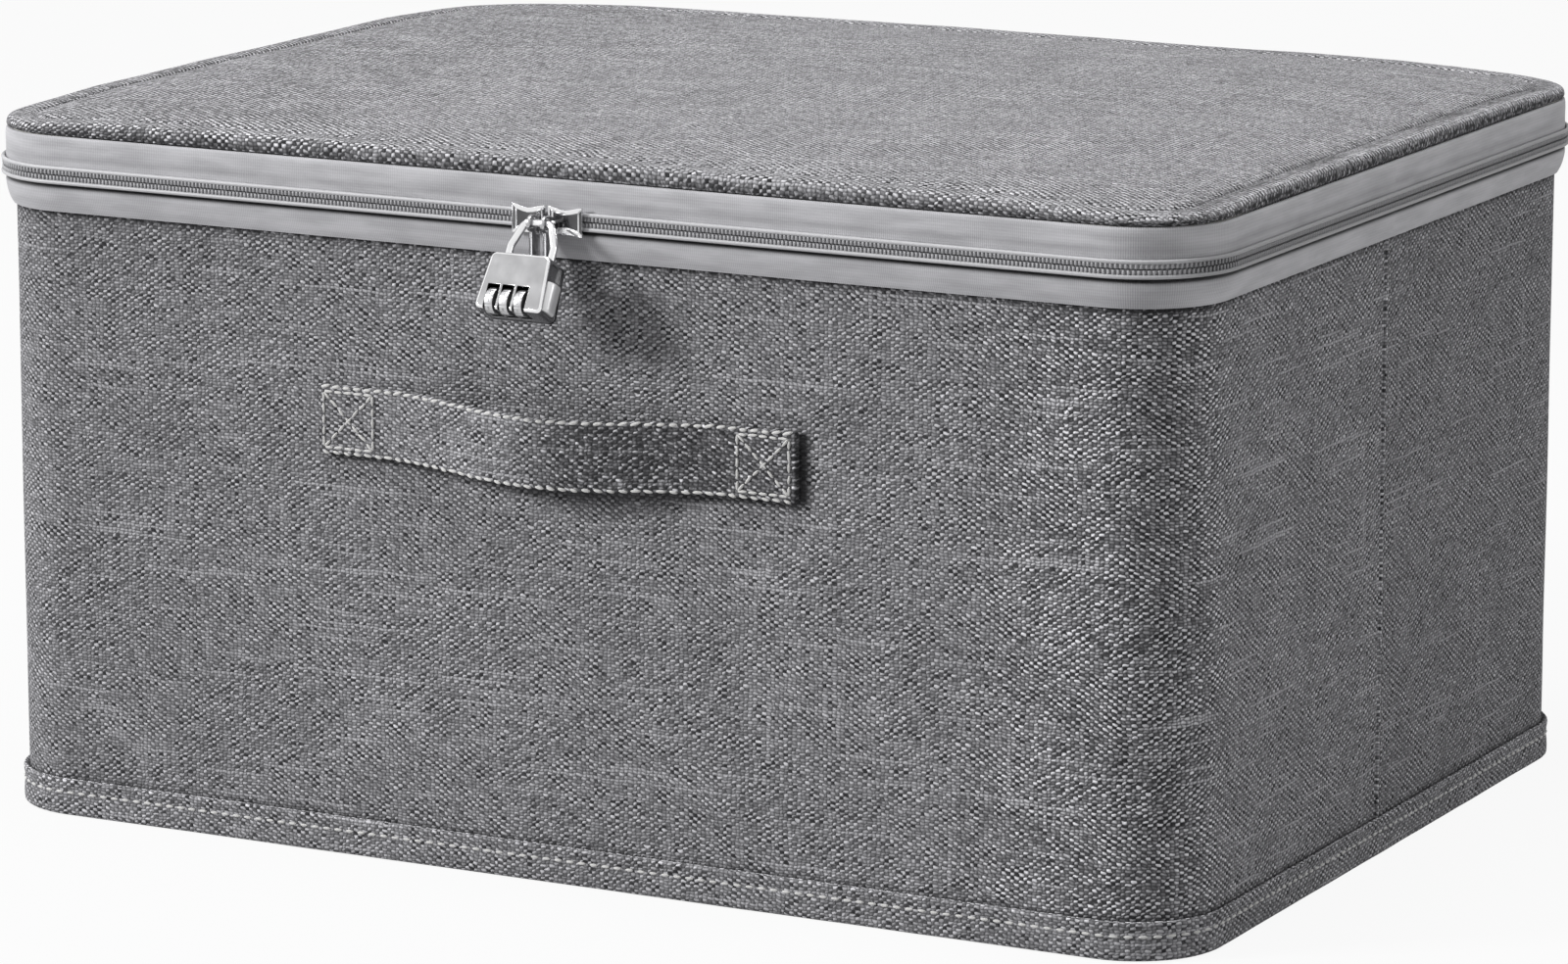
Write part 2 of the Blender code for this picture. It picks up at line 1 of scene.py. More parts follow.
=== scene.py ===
import json
import math

import bmesh
import bpy
from mathutils import Matrix, Vector, noise


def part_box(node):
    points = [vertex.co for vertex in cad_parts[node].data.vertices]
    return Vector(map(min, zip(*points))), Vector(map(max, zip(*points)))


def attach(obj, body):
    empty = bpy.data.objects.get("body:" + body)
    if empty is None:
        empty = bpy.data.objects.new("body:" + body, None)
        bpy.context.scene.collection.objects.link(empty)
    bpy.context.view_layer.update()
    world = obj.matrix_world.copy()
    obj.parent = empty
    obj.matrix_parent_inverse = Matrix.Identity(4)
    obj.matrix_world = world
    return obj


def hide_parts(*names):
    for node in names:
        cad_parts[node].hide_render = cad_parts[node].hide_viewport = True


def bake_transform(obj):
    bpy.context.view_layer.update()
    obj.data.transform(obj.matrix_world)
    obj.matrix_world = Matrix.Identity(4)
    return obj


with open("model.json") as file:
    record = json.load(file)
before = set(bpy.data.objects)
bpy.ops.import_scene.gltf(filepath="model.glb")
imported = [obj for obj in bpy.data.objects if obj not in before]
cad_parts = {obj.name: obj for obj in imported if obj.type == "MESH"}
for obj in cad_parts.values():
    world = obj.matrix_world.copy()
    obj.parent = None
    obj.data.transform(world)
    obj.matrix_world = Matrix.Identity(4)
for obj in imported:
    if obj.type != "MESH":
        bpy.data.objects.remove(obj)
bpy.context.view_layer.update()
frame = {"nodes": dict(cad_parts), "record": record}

mm = 0.001
joints = {joint["name"]: joint for joint in frame["record"]["behaviour"]["joints"]}
wallLow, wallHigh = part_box("wall_cloth")

boxForm = {"corner": 26 * mm, "seam": -6 * mm, "cornerSteps": 14}
halfX, halfY = wallHigh.x, wallHigh.y
cornerX, cornerY = halfX - boxForm["corner"], halfY - boxForm["corner"]
quarter = boxForm["corner"] * math.pi / 2
perimeter = 4 * (cornerX + cornerY + quarter)
zipLine = joints["lid_hinge"]["pos_m"][2]


class Tone:  # a value inside a node tree, so that sums on it read as plain Python
    def __init__(self, owner, socket):
        self.owner, self.socket = owner, socket

    def math(self, operation, *others):
        return self.owner.node("ShaderNodeMath", {"operation": operation}, dict(enumerate((self, *others))))

    def __add__(self, other):
        return self.math("ADD", other)

    def __mul__(self, other):
        return self.math("MULTIPLY", other)

    def __sub__(self, other):
        return self.math("SUBTRACT", other)

    def __rsub__(self, other):
        return self.owner.node("ShaderNodeMath", {"operation": "SUBTRACT"}, {0: other, 1: self})

    def __truediv__(self, other):
        return self.math("DIVIDE", other)

    __radd__ = __add__
    __rmul__ = __mul__

    def floor(self):
        return self.math("FLOOR")

    def fract(self):
        return self.math("FRACT")

    def wave(self):  # 0 to 1 and back, once for each whole step
        return (self * math.tau).math("SINE") * 0.5 + 0.5

    def ease(self, low, high):  # 0 below low, 1 above high
        inputs = {"Value": self, "From Min": low, "From Max": high}
        return self.owner.node("ShaderNodeMapRange", {"interpolation_type": "SMOOTHSTEP"}, inputs)


class Tree:  # a node tree, with one way to make its nodes
    def __init__(self, tree):
        self.tree = tree

    def node(self, kind, settings=None, inputs=None, output=0):
        made = self.tree.nodes.new(kind)
        for key, value in (settings or {}).items():
            setattr(made, key, value)
        for key, value in (inputs or {}).items():
            self.feed(made.inputs[key], value)
        return Tone(self, made.outputs[output])

    def feed(self, socket, value):
        if isinstance(value, Tone):
            self.tree.links.new(value.socket, socket)
        else:
            socket.default_value = value


class Finish(Tree):  # one material: constant sockets are set here, and varying ones are fed
    def __init__(self, name, **constants):
        self.material = bpy.data.materials.new(name)
        self.material.use_nodes = True
        super().__init__(self.material.node_tree)
        self.shader = self.tree.nodes["Principled BSDF"]
        self.put(**constants)

    def put(self, **sockets):
        for socket, value in sockets.items():
            self.feed(self.shader.inputs[socket.replace("_", " ")], value)

    def parts(self, vector):
        return [self.node("ShaderNodeSeparateXYZ", None, {0: vector}, axis) for axis in range(3)]

    def lay(self):  # metres along and across a laid cloth
        return self.parts(self.node("ShaderNodeUVMap", {"uv_map": "lay"}))[:2]

    def place(self):  # metres in the object's own frame
        return self.node("ShaderNodeTexCoord", None, None, 3)

    def soil(self):  # painted shade and painted highlight: how far the cloth is darkened here, lightened where below zero
        return self.node("ShaderNodeAttribute", {"attribute_name": "soil"}, None, 2)

    def spot(self, x, y, z=0.0):
        return self.node("ShaderNodeCombineXYZ", None, {0: x, 1: y, 2: z})

    def cloud(self, vector, scale, detail=2.0):
        return self.node("ShaderNodeTexNoise", None, {"Vector": vector, "Scale": scale, "Detail": detail})

    def speck(self, vector):
        return self.node("ShaderNodeTexWhiteNoise", {"noise_dimensions": "3D"}, {"Vector": vector})

    def tint(self, factor, low, high):  # a colour between two, each a tone or plain numbers
        low, high = (end if isinstance(end, Tone) else (*end, 1) for end in (low, high))
        return self.node("ShaderNodeMix", {"data_type": "RGBA"}, {0: factor, 6: low, 7: high}, 2)

    def relief(self, height, distance, strength=1.0):
        inputs = {"Height": height, "Distance": distance, "Strength": strength}
        self.put(Normal=self.node("ShaderNodeBump", None, inputs))


linenLook = {
    "warp": 1.43 * mm, "weft": 0.95 * mm, "dark": (0.022, 0.022, 0.024), "light": (0.80, 0.795, 0.83),
    "slubRate": 34, "relief": 0.4 * mm, "middle": 0.2,
}
wearAndShadowLook = {
    "end": 80 * mm, "foot": 123.2 * mm, "head": 142.6 * mm, "reach": 60 * mm, "sag": 4.2 * mm,  # the handle's painted shadow
    "left": (-160 * mm, -50 * mm), "bend": (120 * mm, 180 * mm), "unbend": (-22 * mm, 14 * mm),
    "held": (-10 * mm, 15 * mm), "lidLeft": (-140 * mm, -30 * mm),
}


def handleShadow(x, y):  # painted shadow on the wall beside the handle's right end and along its foot
    end, foot, head = wearAndShadowLook["end"], wearAndShadowLook["foot"], wearAndShadowLook["head"]
    upright = y.ease(foot - 2 * mm, foot) * (1 - y.ease(head, head + 0.8 * mm))
    beside = x.ease(end - 1.3 * mm, end - 0.5 * mm) * (1 - x.ease(end + mm, end + 2.8 * mm))
    bow = (1 - x * x / wearAndShadowLook["reach"] ** 2).math("MAXIMUM", 0.0)
    down = foot - y - bow * bow * wearAndShadowLook["sag"]
    along = x.ease(-end, -end + 6 * mm) * (1 - x.ease(end - mm, end + 0.6 * mm))
    under = down.ease(-3 * mm, 0.3 * mm) * (1 - down.ease(0.8 * mm, 4.2 * mm)) * along
    return (upright * beside * 0.88).math("MAXIMUM", under * 0.72)


def wallWearAndShadow(x, y):  # painted shadow by the handle, darker to the left and round the corner; the weave opens where it bends round the corner
    left = 1 - x.ease(*wearAndShadowLook["left"])
    bent = x.ease(*wearAndShadowLook["bend"]) * (1 - x.ease(*(cornerX + quarter + past for past in wearAndShadowLook["unbend"])))
    return handleShadow(x, y).math("MAXIMUM", left * 0.10).math("MAXIMUM", bent * 0.27), bent * 0.58


def strapWear(x, y):  # the weave opens where the hand holds it
    return 0.0, x.ease(*wearAndShadowLook["held"]) * 0.50


def lidWear(x, y):  # the lid's left is handled more
    left = 1 - x.ease(*wearAndShadowLook["lidLeft"])
    return left * 0.31, left * 0.46


def linenFinish(name, gain=1.0, wear=None):  # plain weave of dark warp and pale weft, with slubs in both
    cloth = Finish(name, Roughness=0.92, Sheen_Weight=0.06, Sheen_Roughness=0.6, Specular_IOR_Level=0.15)
    x, y = cloth.lay()
    flat = cloth.spot(x, y)
    drift = cloth.cloud(flat, 90, 1.0) - 0.5
    shiver = cloth.cloud(flat, 420, 1.0) - 0.5
    across = x / linenLook["warp"] + drift * 1.1 + shiver * 1.3
    up = y / linenLook["weft"] + drift * 1.3 - shiver * 1.1
    column, row = across.floor(), up.floor()
    a = (across - column) * 2 - 1
    b = (up - row) * 2 - 1
    weftOver = ((column + row) * 0.5).fract() * 2
    lean = b + a * (cloth.cloud(flat, 24, 1.0).ease(0.40, 0.60) * 0.7 - 0.35)
    warpHigh = (1 - a * a * 0.80) * (1 - b * b * 0.60)
    weftHigh = (1 - (lean * lean * 0.80).math("MINIMUM", 1.0)) * (1 - a * a * 0.45)
    high = warpHigh + (weftHigh - warpHigh) * weftOver
    rate = linenLook["slubRate"]
    warpTone = cloth.cloud(cloth.spot(column * 3.7, y * rate), 1.0, 1.0).ease(0.30, 0.72)
    weftTone = cloth.cloud(cloth.spot(x * rate, row * 3.1, 9.0), 1.0, 1.0).ease(0.30, 0.72)
    warpSlub = cloth.cloud(cloth.spot(column * 5.3, y * 24, 3.0), 1.0, 0.0).ease(0.73, 0.80)
    weftSlub = cloth.cloud(cloth.spot(x * 22, row * 5.3, 6.0), 1.0, 0.0).ease(0.69, 0.76)
    slub = (warpSlub * 0.42).math("MAXIMUM", weftSlub * 0.72)
    speck = cloth.speck(cloth.spot(column, row))
    slant = ((column - row) * 0.25).fract().ease(0.3, 0.6)
    patchy = cloth.cloud(flat, 210, 2.0).ease(0.34, 0.64)
    warp = 0.44 - patchy * 0.37 + (speck - 0.5) * 0.46 + warpTone * 0.16 - slant * 0.06
    weft = 0.82 + patchy * 0.40 + (speck - 0.5) * 0.70 + weftTone * 0.24 - slant * 0.16
    yarn = (warp + (weft - warp) * weftOver) * (1 - slub) + slub * 1.15
    # painted shade and painted highlight from the attribute, mottled
    paintedDim = 1 - cloth.soil() * (0.35 + cloth.cloud(flat, 520, 1.0).ease(0.36, 0.62) * 0.85)
    uneven = 0.77 + cloth.cloud(flat, 45, 3.0) * 0.46
    grey = yarn * (0.18 + high * 0.82) * (0.50 * gain) * uneven * paintedDim
    if wear:
        dark, opened = wear(x, y)
        grey = grey * (1 - dark) * (1 + opened * (grey / (linenLook["middle"] * gain) - 1))
    cloth.put(Base_Color=cloth.tint(grey, linenLook["dark"], linenLook["light"]))
    cloth.relief(high * (0.8 + yarn * 0.4), linenLook["relief"], 0.8)
    return cloth.material


tapeLook = {
    "rib": 0.62 * mm, "line": 0.9 * mm, "dark": (0.175, 0.174, 0.184), "light": (0.50, 0.497, 0.518),
    "deep": (0.02, 0.02, 0.022),
}


def tapeFinish(name):  # close woven zip tape: fine ribs across, faint lines along
    tape = Finish(name, Sheen_Weight=0.15, Specular_IOR_Level=0.35)
    x, y = tape.lay()
    soft = tape.cloud(tape.spot(x * 0.2, y), 260, 3.0)
    rib = (x / tapeLook["rib"]).wave()
    line = (y / tapeLook["line"] + soft * 0.4).wave()
    grey = 0.30 + soft.ease(0.25, 0.75) * 0.36 + rib * 0.26 + line * 0.08
    woven = tape.tint(grey, tapeLook["dark"], tapeLook["light"])
    # painted shade: the tape darkens towards deep where the attribute says, under and above the chain
    tape.put(Base_Color=tape.tint(tape.soil(), woven, tapeLook["deep"]), Roughness=0.55 + soft * 0.2)
    tape.relief(rib * 0.8 + line * 0.3, 0.08 * mm, 0.7)
    return tape.material


def nylonFinish(name, dark, light):  # drawn nylon: teeth of the zip, darker along the side walls
    nylon = Finish(name, Specular_IOR_Level=0.5)
    grain = nylon.cloud(nylon.place(), 900, 2.0)
    sides = nylon.parts(nylon.place())[0].math("ABSOLUTE").ease(halfX - 6 * mm, halfX + 2 * mm) * 0.45
    nylon.put(Base_Color=nylon.tint(sides, nylon.tint(grain, dark, light), tapeLook["deep"]))
    nylon.put(Roughness=0.32 + grain * 0.22)
    nylon.relief(grain, 0.03 * mm, 0.4)
    return nylon.material


def threadFinish(name):  # two-ply sewing thread
    thread = Finish(name, Sheen_Weight=0.2, Specular_IOR_Level=0.3)
    x, y, z = thread.parts(thread.place())
    ply = ((x + y + z) / (0.55 * mm)).wave()
    fuzz = thread.cloud(thread.place(), 1500, 2.0)
    thread.put(Base_Color=thread.tint(ply * 0.5 + fuzz * 0.5, (0.34, 0.337, 0.335), (0.76, 0.755, 0.74)))
    thread.put(Roughness=0.75 + fuzz * 0.2)
    thread.relief(ply, 0.08 * mm, 0.5)
    return thread.material


def metalFinish(name, dark, light, rough, scratch=1.0, metallic=1.0):  # plating with faint smears and hairlines
    metal = Finish(name, Metallic=metallic)
    x, y, z = metal.parts(metal.place())
    smear = metal.cloud(metal.place(), 210, 3.0)
    hair = metal.cloud(metal.spot(x * 0.08, y, z), 5200, 2.0)
    metal.put(Base_Color=metal.tint(smear * 0.7 + hair * 0.3, dark, light))
    metal.put(Roughness=rough * 0.7 + smear * rough * 0.6 + hair.ease(0.60, 0.75) * 0.08 * scratch)
    metal.relief(hair, 0.006 * mm, 0.35 * scratch)
    return metal.material


def inkFinish(name, dark, light):  # enamel in engraved numbers, and near-black painted shade for needle holes
    enamelAndHoleShade = Finish(name)
    patch = enamelAndHoleShade.cloud(enamelAndHoleShade.place(), 1800, 2.0)
    enamelAndHoleShade.put(Base_Color=enamelAndHoleShade.tint(patch, dark, light), Roughness=0.35 + patch * 0.3)
    return enamelAndHoleShade.material


def liningFinish(name):  # aluminium-coated glass cloth inside the box
    coat = Finish(name, Specular_IOR_Level=0.5)
    x, y = coat.lay()
    weave = (x / (1.1 * mm)).wave() * (y / (1.1 * mm)).wave()
    crease = coat.cloud(coat.spot(x, y), 38, 4.0)
    coat.put(Base_Color=coat.tint(crease * 0.6 + weave * 0.4, (0.33, 0.335, 0.345), (0.70, 0.71, 0.73)))
    coat.put(Metallic=0.55 + weave * 0.25, Roughness=0.34 + crease * 0.25)
    coat.relief(weave * 0.5 + crease * 1.5, 0.2 * mm, 0.5)
    return coat.material


def fibreFinish(name, dark, light, scale):  # felt, foam and grey board: matted fibres
    fibre = Finish(name, Specular_IOR_Level=0.1)
    long = fibre.cloud(fibre.place(), scale, 6.0)
    fine = fibre.cloud(fibre.place(), scale * 7, 3.0)
    fibre.put(Base_Color=fibre.tint(long * 0.6 + fine * 0.4, dark, light), Roughness=0.85 + fine * 0.15)
    fibre.relief(long * 0.5 + fine * 0.5, 0.3 * mm, 0.6)
    return fibre.material


linen = linenFinish("linen")
# painted light: the lid's cloth is the same linen made 1.42 times as bright, as its top is lit more
lidLinen = linenFinish("lidLinen", 1.42, lidWear)
wallLinen = linenFinish("wallLinen", 1.0, wallWearAndShadow)
strapLinen = linenFinish("strapLinen", 1.0, strapWear)
tape = tapeFinish("zipTape")
nylon = nylonFinish("zipNylon", (0.25, 0.25, 0.26), (0.42, 0.42, 0.435))
lipNylon = nylonFinish("zipLip", (0.36, 0.36, 0.373), (0.46, 0.46, 0.473))
thread = threadFinish("sewingThread")
chromeAndRimHighlight = metalFinish("brightPlating", (0.74, 0.74, 0.75), (0.88, 0.88, 0.89), 0.16, 0.1)
satin = metalFinish("satinPlating", (0.35, 0.35, 0.357), (0.40, 0.40, 0.407), 0.22, 0.0)
gunAndWindowShade = metalFinish("darkPlating", (0.05, 0.05, 0.052), (0.16, 0.16, 0.165), 0.18, 0.2)
steel = metalFinish("brushedSteel", (0.36, 0.36, 0.37), (0.50, 0.50, 0.51), 0.26, 0.4)
wheel = metalFinish("dialPlating", (0.46, 0.46, 0.47), (0.56, 0.56, 0.57), 0.38, 0.0)
pearl = metalFinish("pearlPlating", (0.78, 0.78, 0.79), (0.88, 0.88, 0.89), 0.25, 0.0, 0.35)
enamelAndHoleShade = inkFinish("needleHole", (0.012, 0.012, 0.013), (0.05, 0.05, 0.052))
enamel = inkFinish("dialEnamel", (0.09, 0.09, 0.094), (0.16, 0.16, 0.165))
lining = liningFinish("coatedLining")
board = fibreFinish("greyBoard", (0.20, 0.165, 0.12), (0.36, 0.30, 0.22), 260)
felt = fibreFinish("fireFelt", (0.62, 0.61, 0.57), (0.84, 0.83, 0.79), 420)
foam = fibreFinish("lidFoam", (0.70, 0.69, 0.64), (0.88, 0.87, 0.82), 900)
print("finishes made")


def linked(name, data):
    item = bpy.data.objects.new(name, data)
    bpy.context.scene.collection.objects.link(item)
    return item


def meshFrom(name, bm):
    mesh = bpy.data.meshes.new(name)
    bm.to_mesh(mesh)
    bm.free()
    return mesh


def madeMesh(holder):  # what an object's curve or modifiers make; the object itself goes
    bpy.context.view_layer.update()
    mesh = bpy.data.meshes.new_from_object(holder.evaluated_get(bpy.context.evaluated_depsgraph_get()))
    bpy.data.objects.remove(holder)
    return mesh


def addPiece(name, bm, material, body=None, nodes=(), sharp=40, flat=None):
    mesh = meshFrom(name, bm)
    mesh.shade_smooth()
    mesh.set_sharp_from_angle(angle=math.radians(sharp))
    for face in mesh.polygons if flat else ():  # broad metal faces stay truly flat
        face.use_smooth = face.area < flat
    for finish in material if isinstance(material, tuple) else (material,):
        mesh.materials.append(finish)
    piece = linked(name, mesh)
    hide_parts(*nodes)
    if body:
        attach(piece, body)
    return piece


def block(bm, middle, size):  # a box about a middle, as its points
    matrix = Matrix.Translation(middle) @ Matrix.Diagonal((*size, 1))
    return bmesh.ops.create_cube(bm, size=1, matrix=matrix)["verts"]


def breakEdges(bm, edges, offset, segments=2, material=-1, clamp=False):
    bmesh.ops.bevel(bm, geom=edges, offset=offset, segments=segments, profile=0.5, affect="EDGES",
                    material=material, clamp_overlap=clamp)


def sharpEdges(bm, angle=1.2):  # edges that turn by more than an angle
    return [edge for edge in bm.edges if abs(edge.calc_face_angle(0)) > angle]


def edgesAlong(edges, axis, least):  # those that reach further than a length along an axis
    return [edge for edge in edges if abs(edge.verts[0].co[axis] - edge.verts[1].co[axis]) > least]


def around(x, y):  # length along the walls from the middle of the front, and distance out of their faces
    dx = x - max(-cornerX, min(cornerX, x))
    dy = y - max(-cornerY, min(cornerY, y))
    radius, turn = boxForm["corner"], math.atan2(dy, dx)
    side = cornerX + quarter + 2 * cornerY
    if dx > 0 and dy < 0:
        along = cornerX + radius * (turn + math.pi / 2)
    elif dx > 0:
        along = side + radius * turn if dy > 0 else cornerX + quarter + y + cornerY
    elif dx < 0 and dy < 0:
        along = -cornerX - quarter + radius * (turn + math.pi)
    elif dx < 0:
        along = radius * (turn - math.pi / 2) - side - quarter if dy > 0 else -cornerX - quarter - cornerY - y
    else:
        along = x if dy < 0 else side + quarter + cornerX - x
    seam = cornerX + quarter + boxForm["seam"] + cornerY
    return (along - perimeter if along > seam else along), math.hypot(dx, dy) - radius


def layAround(bm):  # lays the weave round the walls, and flat where a fold turns under
    bm.normal_update()
    lay = bm.loops.layers.uv.new("lay")
    for face in bm.faces:
        middle = around(*face.calc_center_median().xy)[0]
        for loop in face.loops:
            along, out = around(*loop.vert.co.xy)
            along += perimeter * round((middle - along) / perimeter)
            loop[lay].uv = (along, out if abs(face.normal.z) > 0.75 else loop.vert.co.z)


def layFlat(bm, axes):  # lays the weave straight on, along two axes
    lay = bm.loops.layers.uv.new("lay")
    for face in bm.faces:
        for loop in face.loops:
            loop[lay].uv = [loop.vert.co[axis] for axis in axes]


corners = [Vector((sx * cornerX, sy * cornerY, 0)) for sx, sy in ((1, 1), (-1, 1), (-1, -1), (1, -1))]
wallRoute = {  # anticlockwise from above: a run is a vector, a turn the centre of its corner
    "start": Vector((halfX, boxForm["seam"], 0)), "out": Vector((1, 0, 0)), "closed": True,
    "moves": [Vector((0, cornerY - boxForm["seam"], 0)), corners[0], Vector((-2 * cornerX, 0, 0)), corners[1],
              Vector((0, -2 * cornerY, 0)), corners[2], Vector((2 * cornerX, 0, 0)), corners[3],
              Vector((0, boxForm["seam"] + cornerY, 0))],
}
zipRoute = {
    "start": Vector((-cornerX, halfY, 0)), "out": Vector((0, 1, 0)), "closed": False,
    "moves": [None, corners[1], Vector((0, -2 * cornerY, 0)), corners[2], Vector((2 * cornerX, 0, 0)),
              corners[3], Vector((0, 2 * cornerY, 0)), corners[0]],
}


def carry(bm, geom, moves, steps=1):  # draws points or edges along straight runs and round corners by turns
    for index, move in enumerate(moves):
        if move is None:
            continue
        way = {"cent": move, "angle": math.pi / 2, "steps": boxForm["cornerSteps"]}
        if index % 2 == 0:
            way = {"dvec": move / steps, "angle": 0, "steps": steps}
        geom = bmesh.ops.spin(bm, geom=geom, axis=(0, 0, 1), **way)["geom_last"]


def closedLine(bm, points):
    verts = [bm.verts.new(point) for point in points]
    return verts + [bm.edges.new(pair) for pair in zip(verts, verts[1:] + verts[:1])]


def capEnds(bm):  # closes what is open and turns every face outward
    bmesh.ops.holes_fill(bm, edges=[edge for edge in bm.edges if edge.is_boundary])
    bmesh.ops.recalc_face_normals(bm, faces=bm.faces)


def sweep(section, route, step):  # carries a closed (out, up) section along a route
    bm = bmesh.new()
    points = [route["start"] + route["out"] * reach + Vector((0, 0, z)) for reach, z in section]
    carry(bm, closedLine(bm, points), route["moves"])
    for length in {round(move.length, 5) for move in route["moves"][::2] if move}:
        runs = [edge for edge in bm.edges if abs(edge.calc_length() - length) < 0.05 * mm]
        bmesh.ops.subdivide_edges(bm, edges=runs, cuts=max(0, round(length / step) - 1))
    if route["closed"]:
        bmesh.ops.remove_doubles(bm, verts=bm.verts, dist=0.01 * mm)
        bmesh.ops.recalc_face_normals(bm, faces=bm.faces)
    else:
        capEnds(bm)
    return bm


def wallOutline(inset, z, steps=1):  # a closed line inside the walls' faces
    bm = bmesh.new()
    carry(bm, [bm.verts.new((halfX - inset, boxForm["seam"], z))], wallRoute["moves"], steps)
    bmesh.ops.remove_doubles(bm, verts=bm.verts, dist=0.01 * mm)
    return bm


def thicken(line, depth):  # a closed section from one face's line, by its normals
    points = [Vector(point) for point in line]
    back = []
    for index, point in enumerate(points):
        along = points[min(index + 1, len(points) - 1)] - points[max(index - 1, 0)]
        back.append(point + Vector((-along.y, along.x)).normalized() * depth)
    return [tuple(point) for point in points + back[::-1]]


def smoothLine(points, rounds=2):  # cuts the corners of a line, keeping its ends
    line = [Vector(point) for point in points]
    for _ in range(rounds):
        cut = [line[0]]
        for before, after in zip(line, line[1:]):
            cut += [before.lerp(after, 0.25), before.lerp(after, 0.75)]
        line = cut + [line[-1]]
    return [tuple(point) for point in line]


def lineLength(line):
    return sum((Vector(after) - Vector(before)).length for before, after in zip(line, line[1:]))


def onRoute(along):  # a point of the walls' outline and the way out, at a length from the middle of the front
    length = (along + cornerX) % perimeter
    spans = [(Vector((-cornerX, -halfY, 0)), Vector((1, 0, 0)), 2 * cornerX, corners[3]),
             (Vector((halfX, -cornerY, 0)), Vector((0, 1, 0)), 2 * cornerY, corners[0]),
             (Vector((cornerX, halfY, 0)), Vector((-1, 0, 0)), 2 * cornerX, corners[1]),
             (Vector((-halfX, cornerY, 0)), Vector((0, -1, 0)), 2 * cornerY, corners[2])]
    for start, ahead, span, centre in spans:
        out = Vector((ahead.y, -ahead.x, 0))
        if length <= span:
            return start + ahead * length, out
        length -= span
        if length <= quarter:
            out = Matrix.Rotation(length / boxForm["corner"], 3, "Z") @ out
            return centre + out * boxForm["corner"], out
        length -= quarter


def darken(bm, share, least=0.0):  # painted shade and painted highlight: how far the cloth is darkened at each point, lightened where below zero
    soil = bm.verts.layers.float.new("soil")
    for vert in bm.verts:
        vert[soil] = max(least, min(0.9, share(vert.co)))


def wayOut(co):
    away = Vector((co.x - max(-cornerX, min(cornerX, co.x)), co.y - max(-cornerY, min(cornerY, co.y)), 0))
    return away.normalized()


def soften(bm, amount, size, seed, share):  # pushes cloth in and out a little
    shift = Vector((seed, seed, seed))
    for vert in bm.verts:
        vert.co += wayOut(vert.co) * noise.noise(vert.co / size + shift) * amount * share(vert.co)


def makeBead():  # a short fat length of thread, to be stamped many times
    bm = bmesh.new()
    turn = Matrix.Rotation(math.pi / 2, 4, "Y")
    bmesh.ops.create_uvsphere(bm, u_segments=8, v_segments=6, radius=1, matrix=turn)
    return meshFrom("bead", bm)


def stamp(bm, mesh, matrix):
    copy = mesh.copy()
    copy.transform(matrix)
    bm.from_mesh(copy)
    bpy.data.meshes.remove(copy)


def addStitch(bm, middle, out, along, length, radius):
    axes = Matrix((along * (length / 2), out * radius, out.cross(along) * radius)).transposed().to_4x4()
    stamp(bm, bead, Matrix.Translation(middle) @ axes)


bead = makeBead()
zipLook = {
    "stand": 3.0 * mm, "reach": 11.6 * mm, "thick": 0.9 * mm, "tooth": 1.25 * mm, "toothWide": 0.86 * mm,
    "toothDeep": 0.8 * mm, "lip": 0.62 * mm, "chain": 2.75 * mm,
    "lower": [  # mm out from the tape's stand, and up from the zip
        (0, -0.45), (0, -2.3), (-1.5, -2.6), (-1.6, -3.6), (0.1, -3.8), (0.15, -5.4), (-0.3, -7.6), (-0.9, -9.6),
        (-1.65, -11.1), (-1.95, -11.6),
    ],
    "upper": [
        (0, 0.45), (0, 3.4), (-0.12, 5.0), (-0.05, 8.5), (-0.1, 10.4), (-0.35, 11.4), (-1.0, 11.7), (-1.7, 11.4),
        (-2.0, 10.4),
    ],
    "hinge": [
        (-2.6, -11.5), (-2.0, -10.9), (-0.4, -8.5), (0, -5.5), (0, 0), (0, 5.5), (-0.4, 9.1), (-0.8, 10.9),
        (-1.3, 11.5),
    ],
    "hingeCut": 24.2 * mm, "hingeBend": 3.4 * mm,
    "soil": {"lower": (1.35, -3.3 * mm, mm), "upper": (0.24, 5.0 * mm, 1.9 / 0.24 * mm)},  # painted shadow under the chain and painted shade above it: depth, height, fade
}
wallLook = {
    "step": 7 * mm, "rows": 26, "footRows": (0, 0.5, 1.1, 2.0), "headRows": (0, 0.5, 1.1, 2.2), "soil": 0.48,
    "swell": 0.28 * mm, "thick": 0.8 * mm, "plain": 16 * mm, "fade": 20 * mm, "seamEnd": 9.5 * mm,
    "aboveFoot": 1.6 * mm, "underTape": (1.4, 1.7 * mm),
    "foldRise": 0.8 * mm, "foldWide": 1.7 * mm, "needle": 3.1 * mm, "hole": (2.1 * mm, 0.55 * mm),
}


def makeWalls():
    low, high = wallLow.z, wallHigh.z
    foot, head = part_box("base_binding")[1].z, zipLine - zipLook["reach"]
    levels = [low + (high - low) * row / wallLook["rows"] for row in range(wallLook["rows"] + 1)]
    levels += [foot + up * mm for up in wallLook["footRows"]] + [head - down * mm for down in wallLook["headRows"]]
    face = [(0, z) for z in sorted(levels)]
    section = face + [(-wallLook["thick"], z) for _, z in face[::-1]]
    bm = sweep(section, wallRoute | {"closed": False}, wallLook["step"])

    def middle(co):
        inside = min(co.z - low, high - co.z) - wallLook["plain"]
        return max(0, min(1, inside / wallLook["fade"]))

    def soil(co):  # painted shade above the binding and painted shadow under the tape
        above = wallLook["soil"] * (1 - abs(co.z - foot) / wallLook["aboveFoot"])
        depth, fade = wallLook["underTape"]
        return max(above, depth - abs(head - co.z) / fade)

    soften(bm, wallLook["swell"], 55 * mm, 3.7, middle)
    darken(bm, soil)
    layAround(bm)
    cover = addPiece("wallCover", bm, wallLinen, "box", ["wall_cloth"])
    makeSeam()
    print("walls covered")


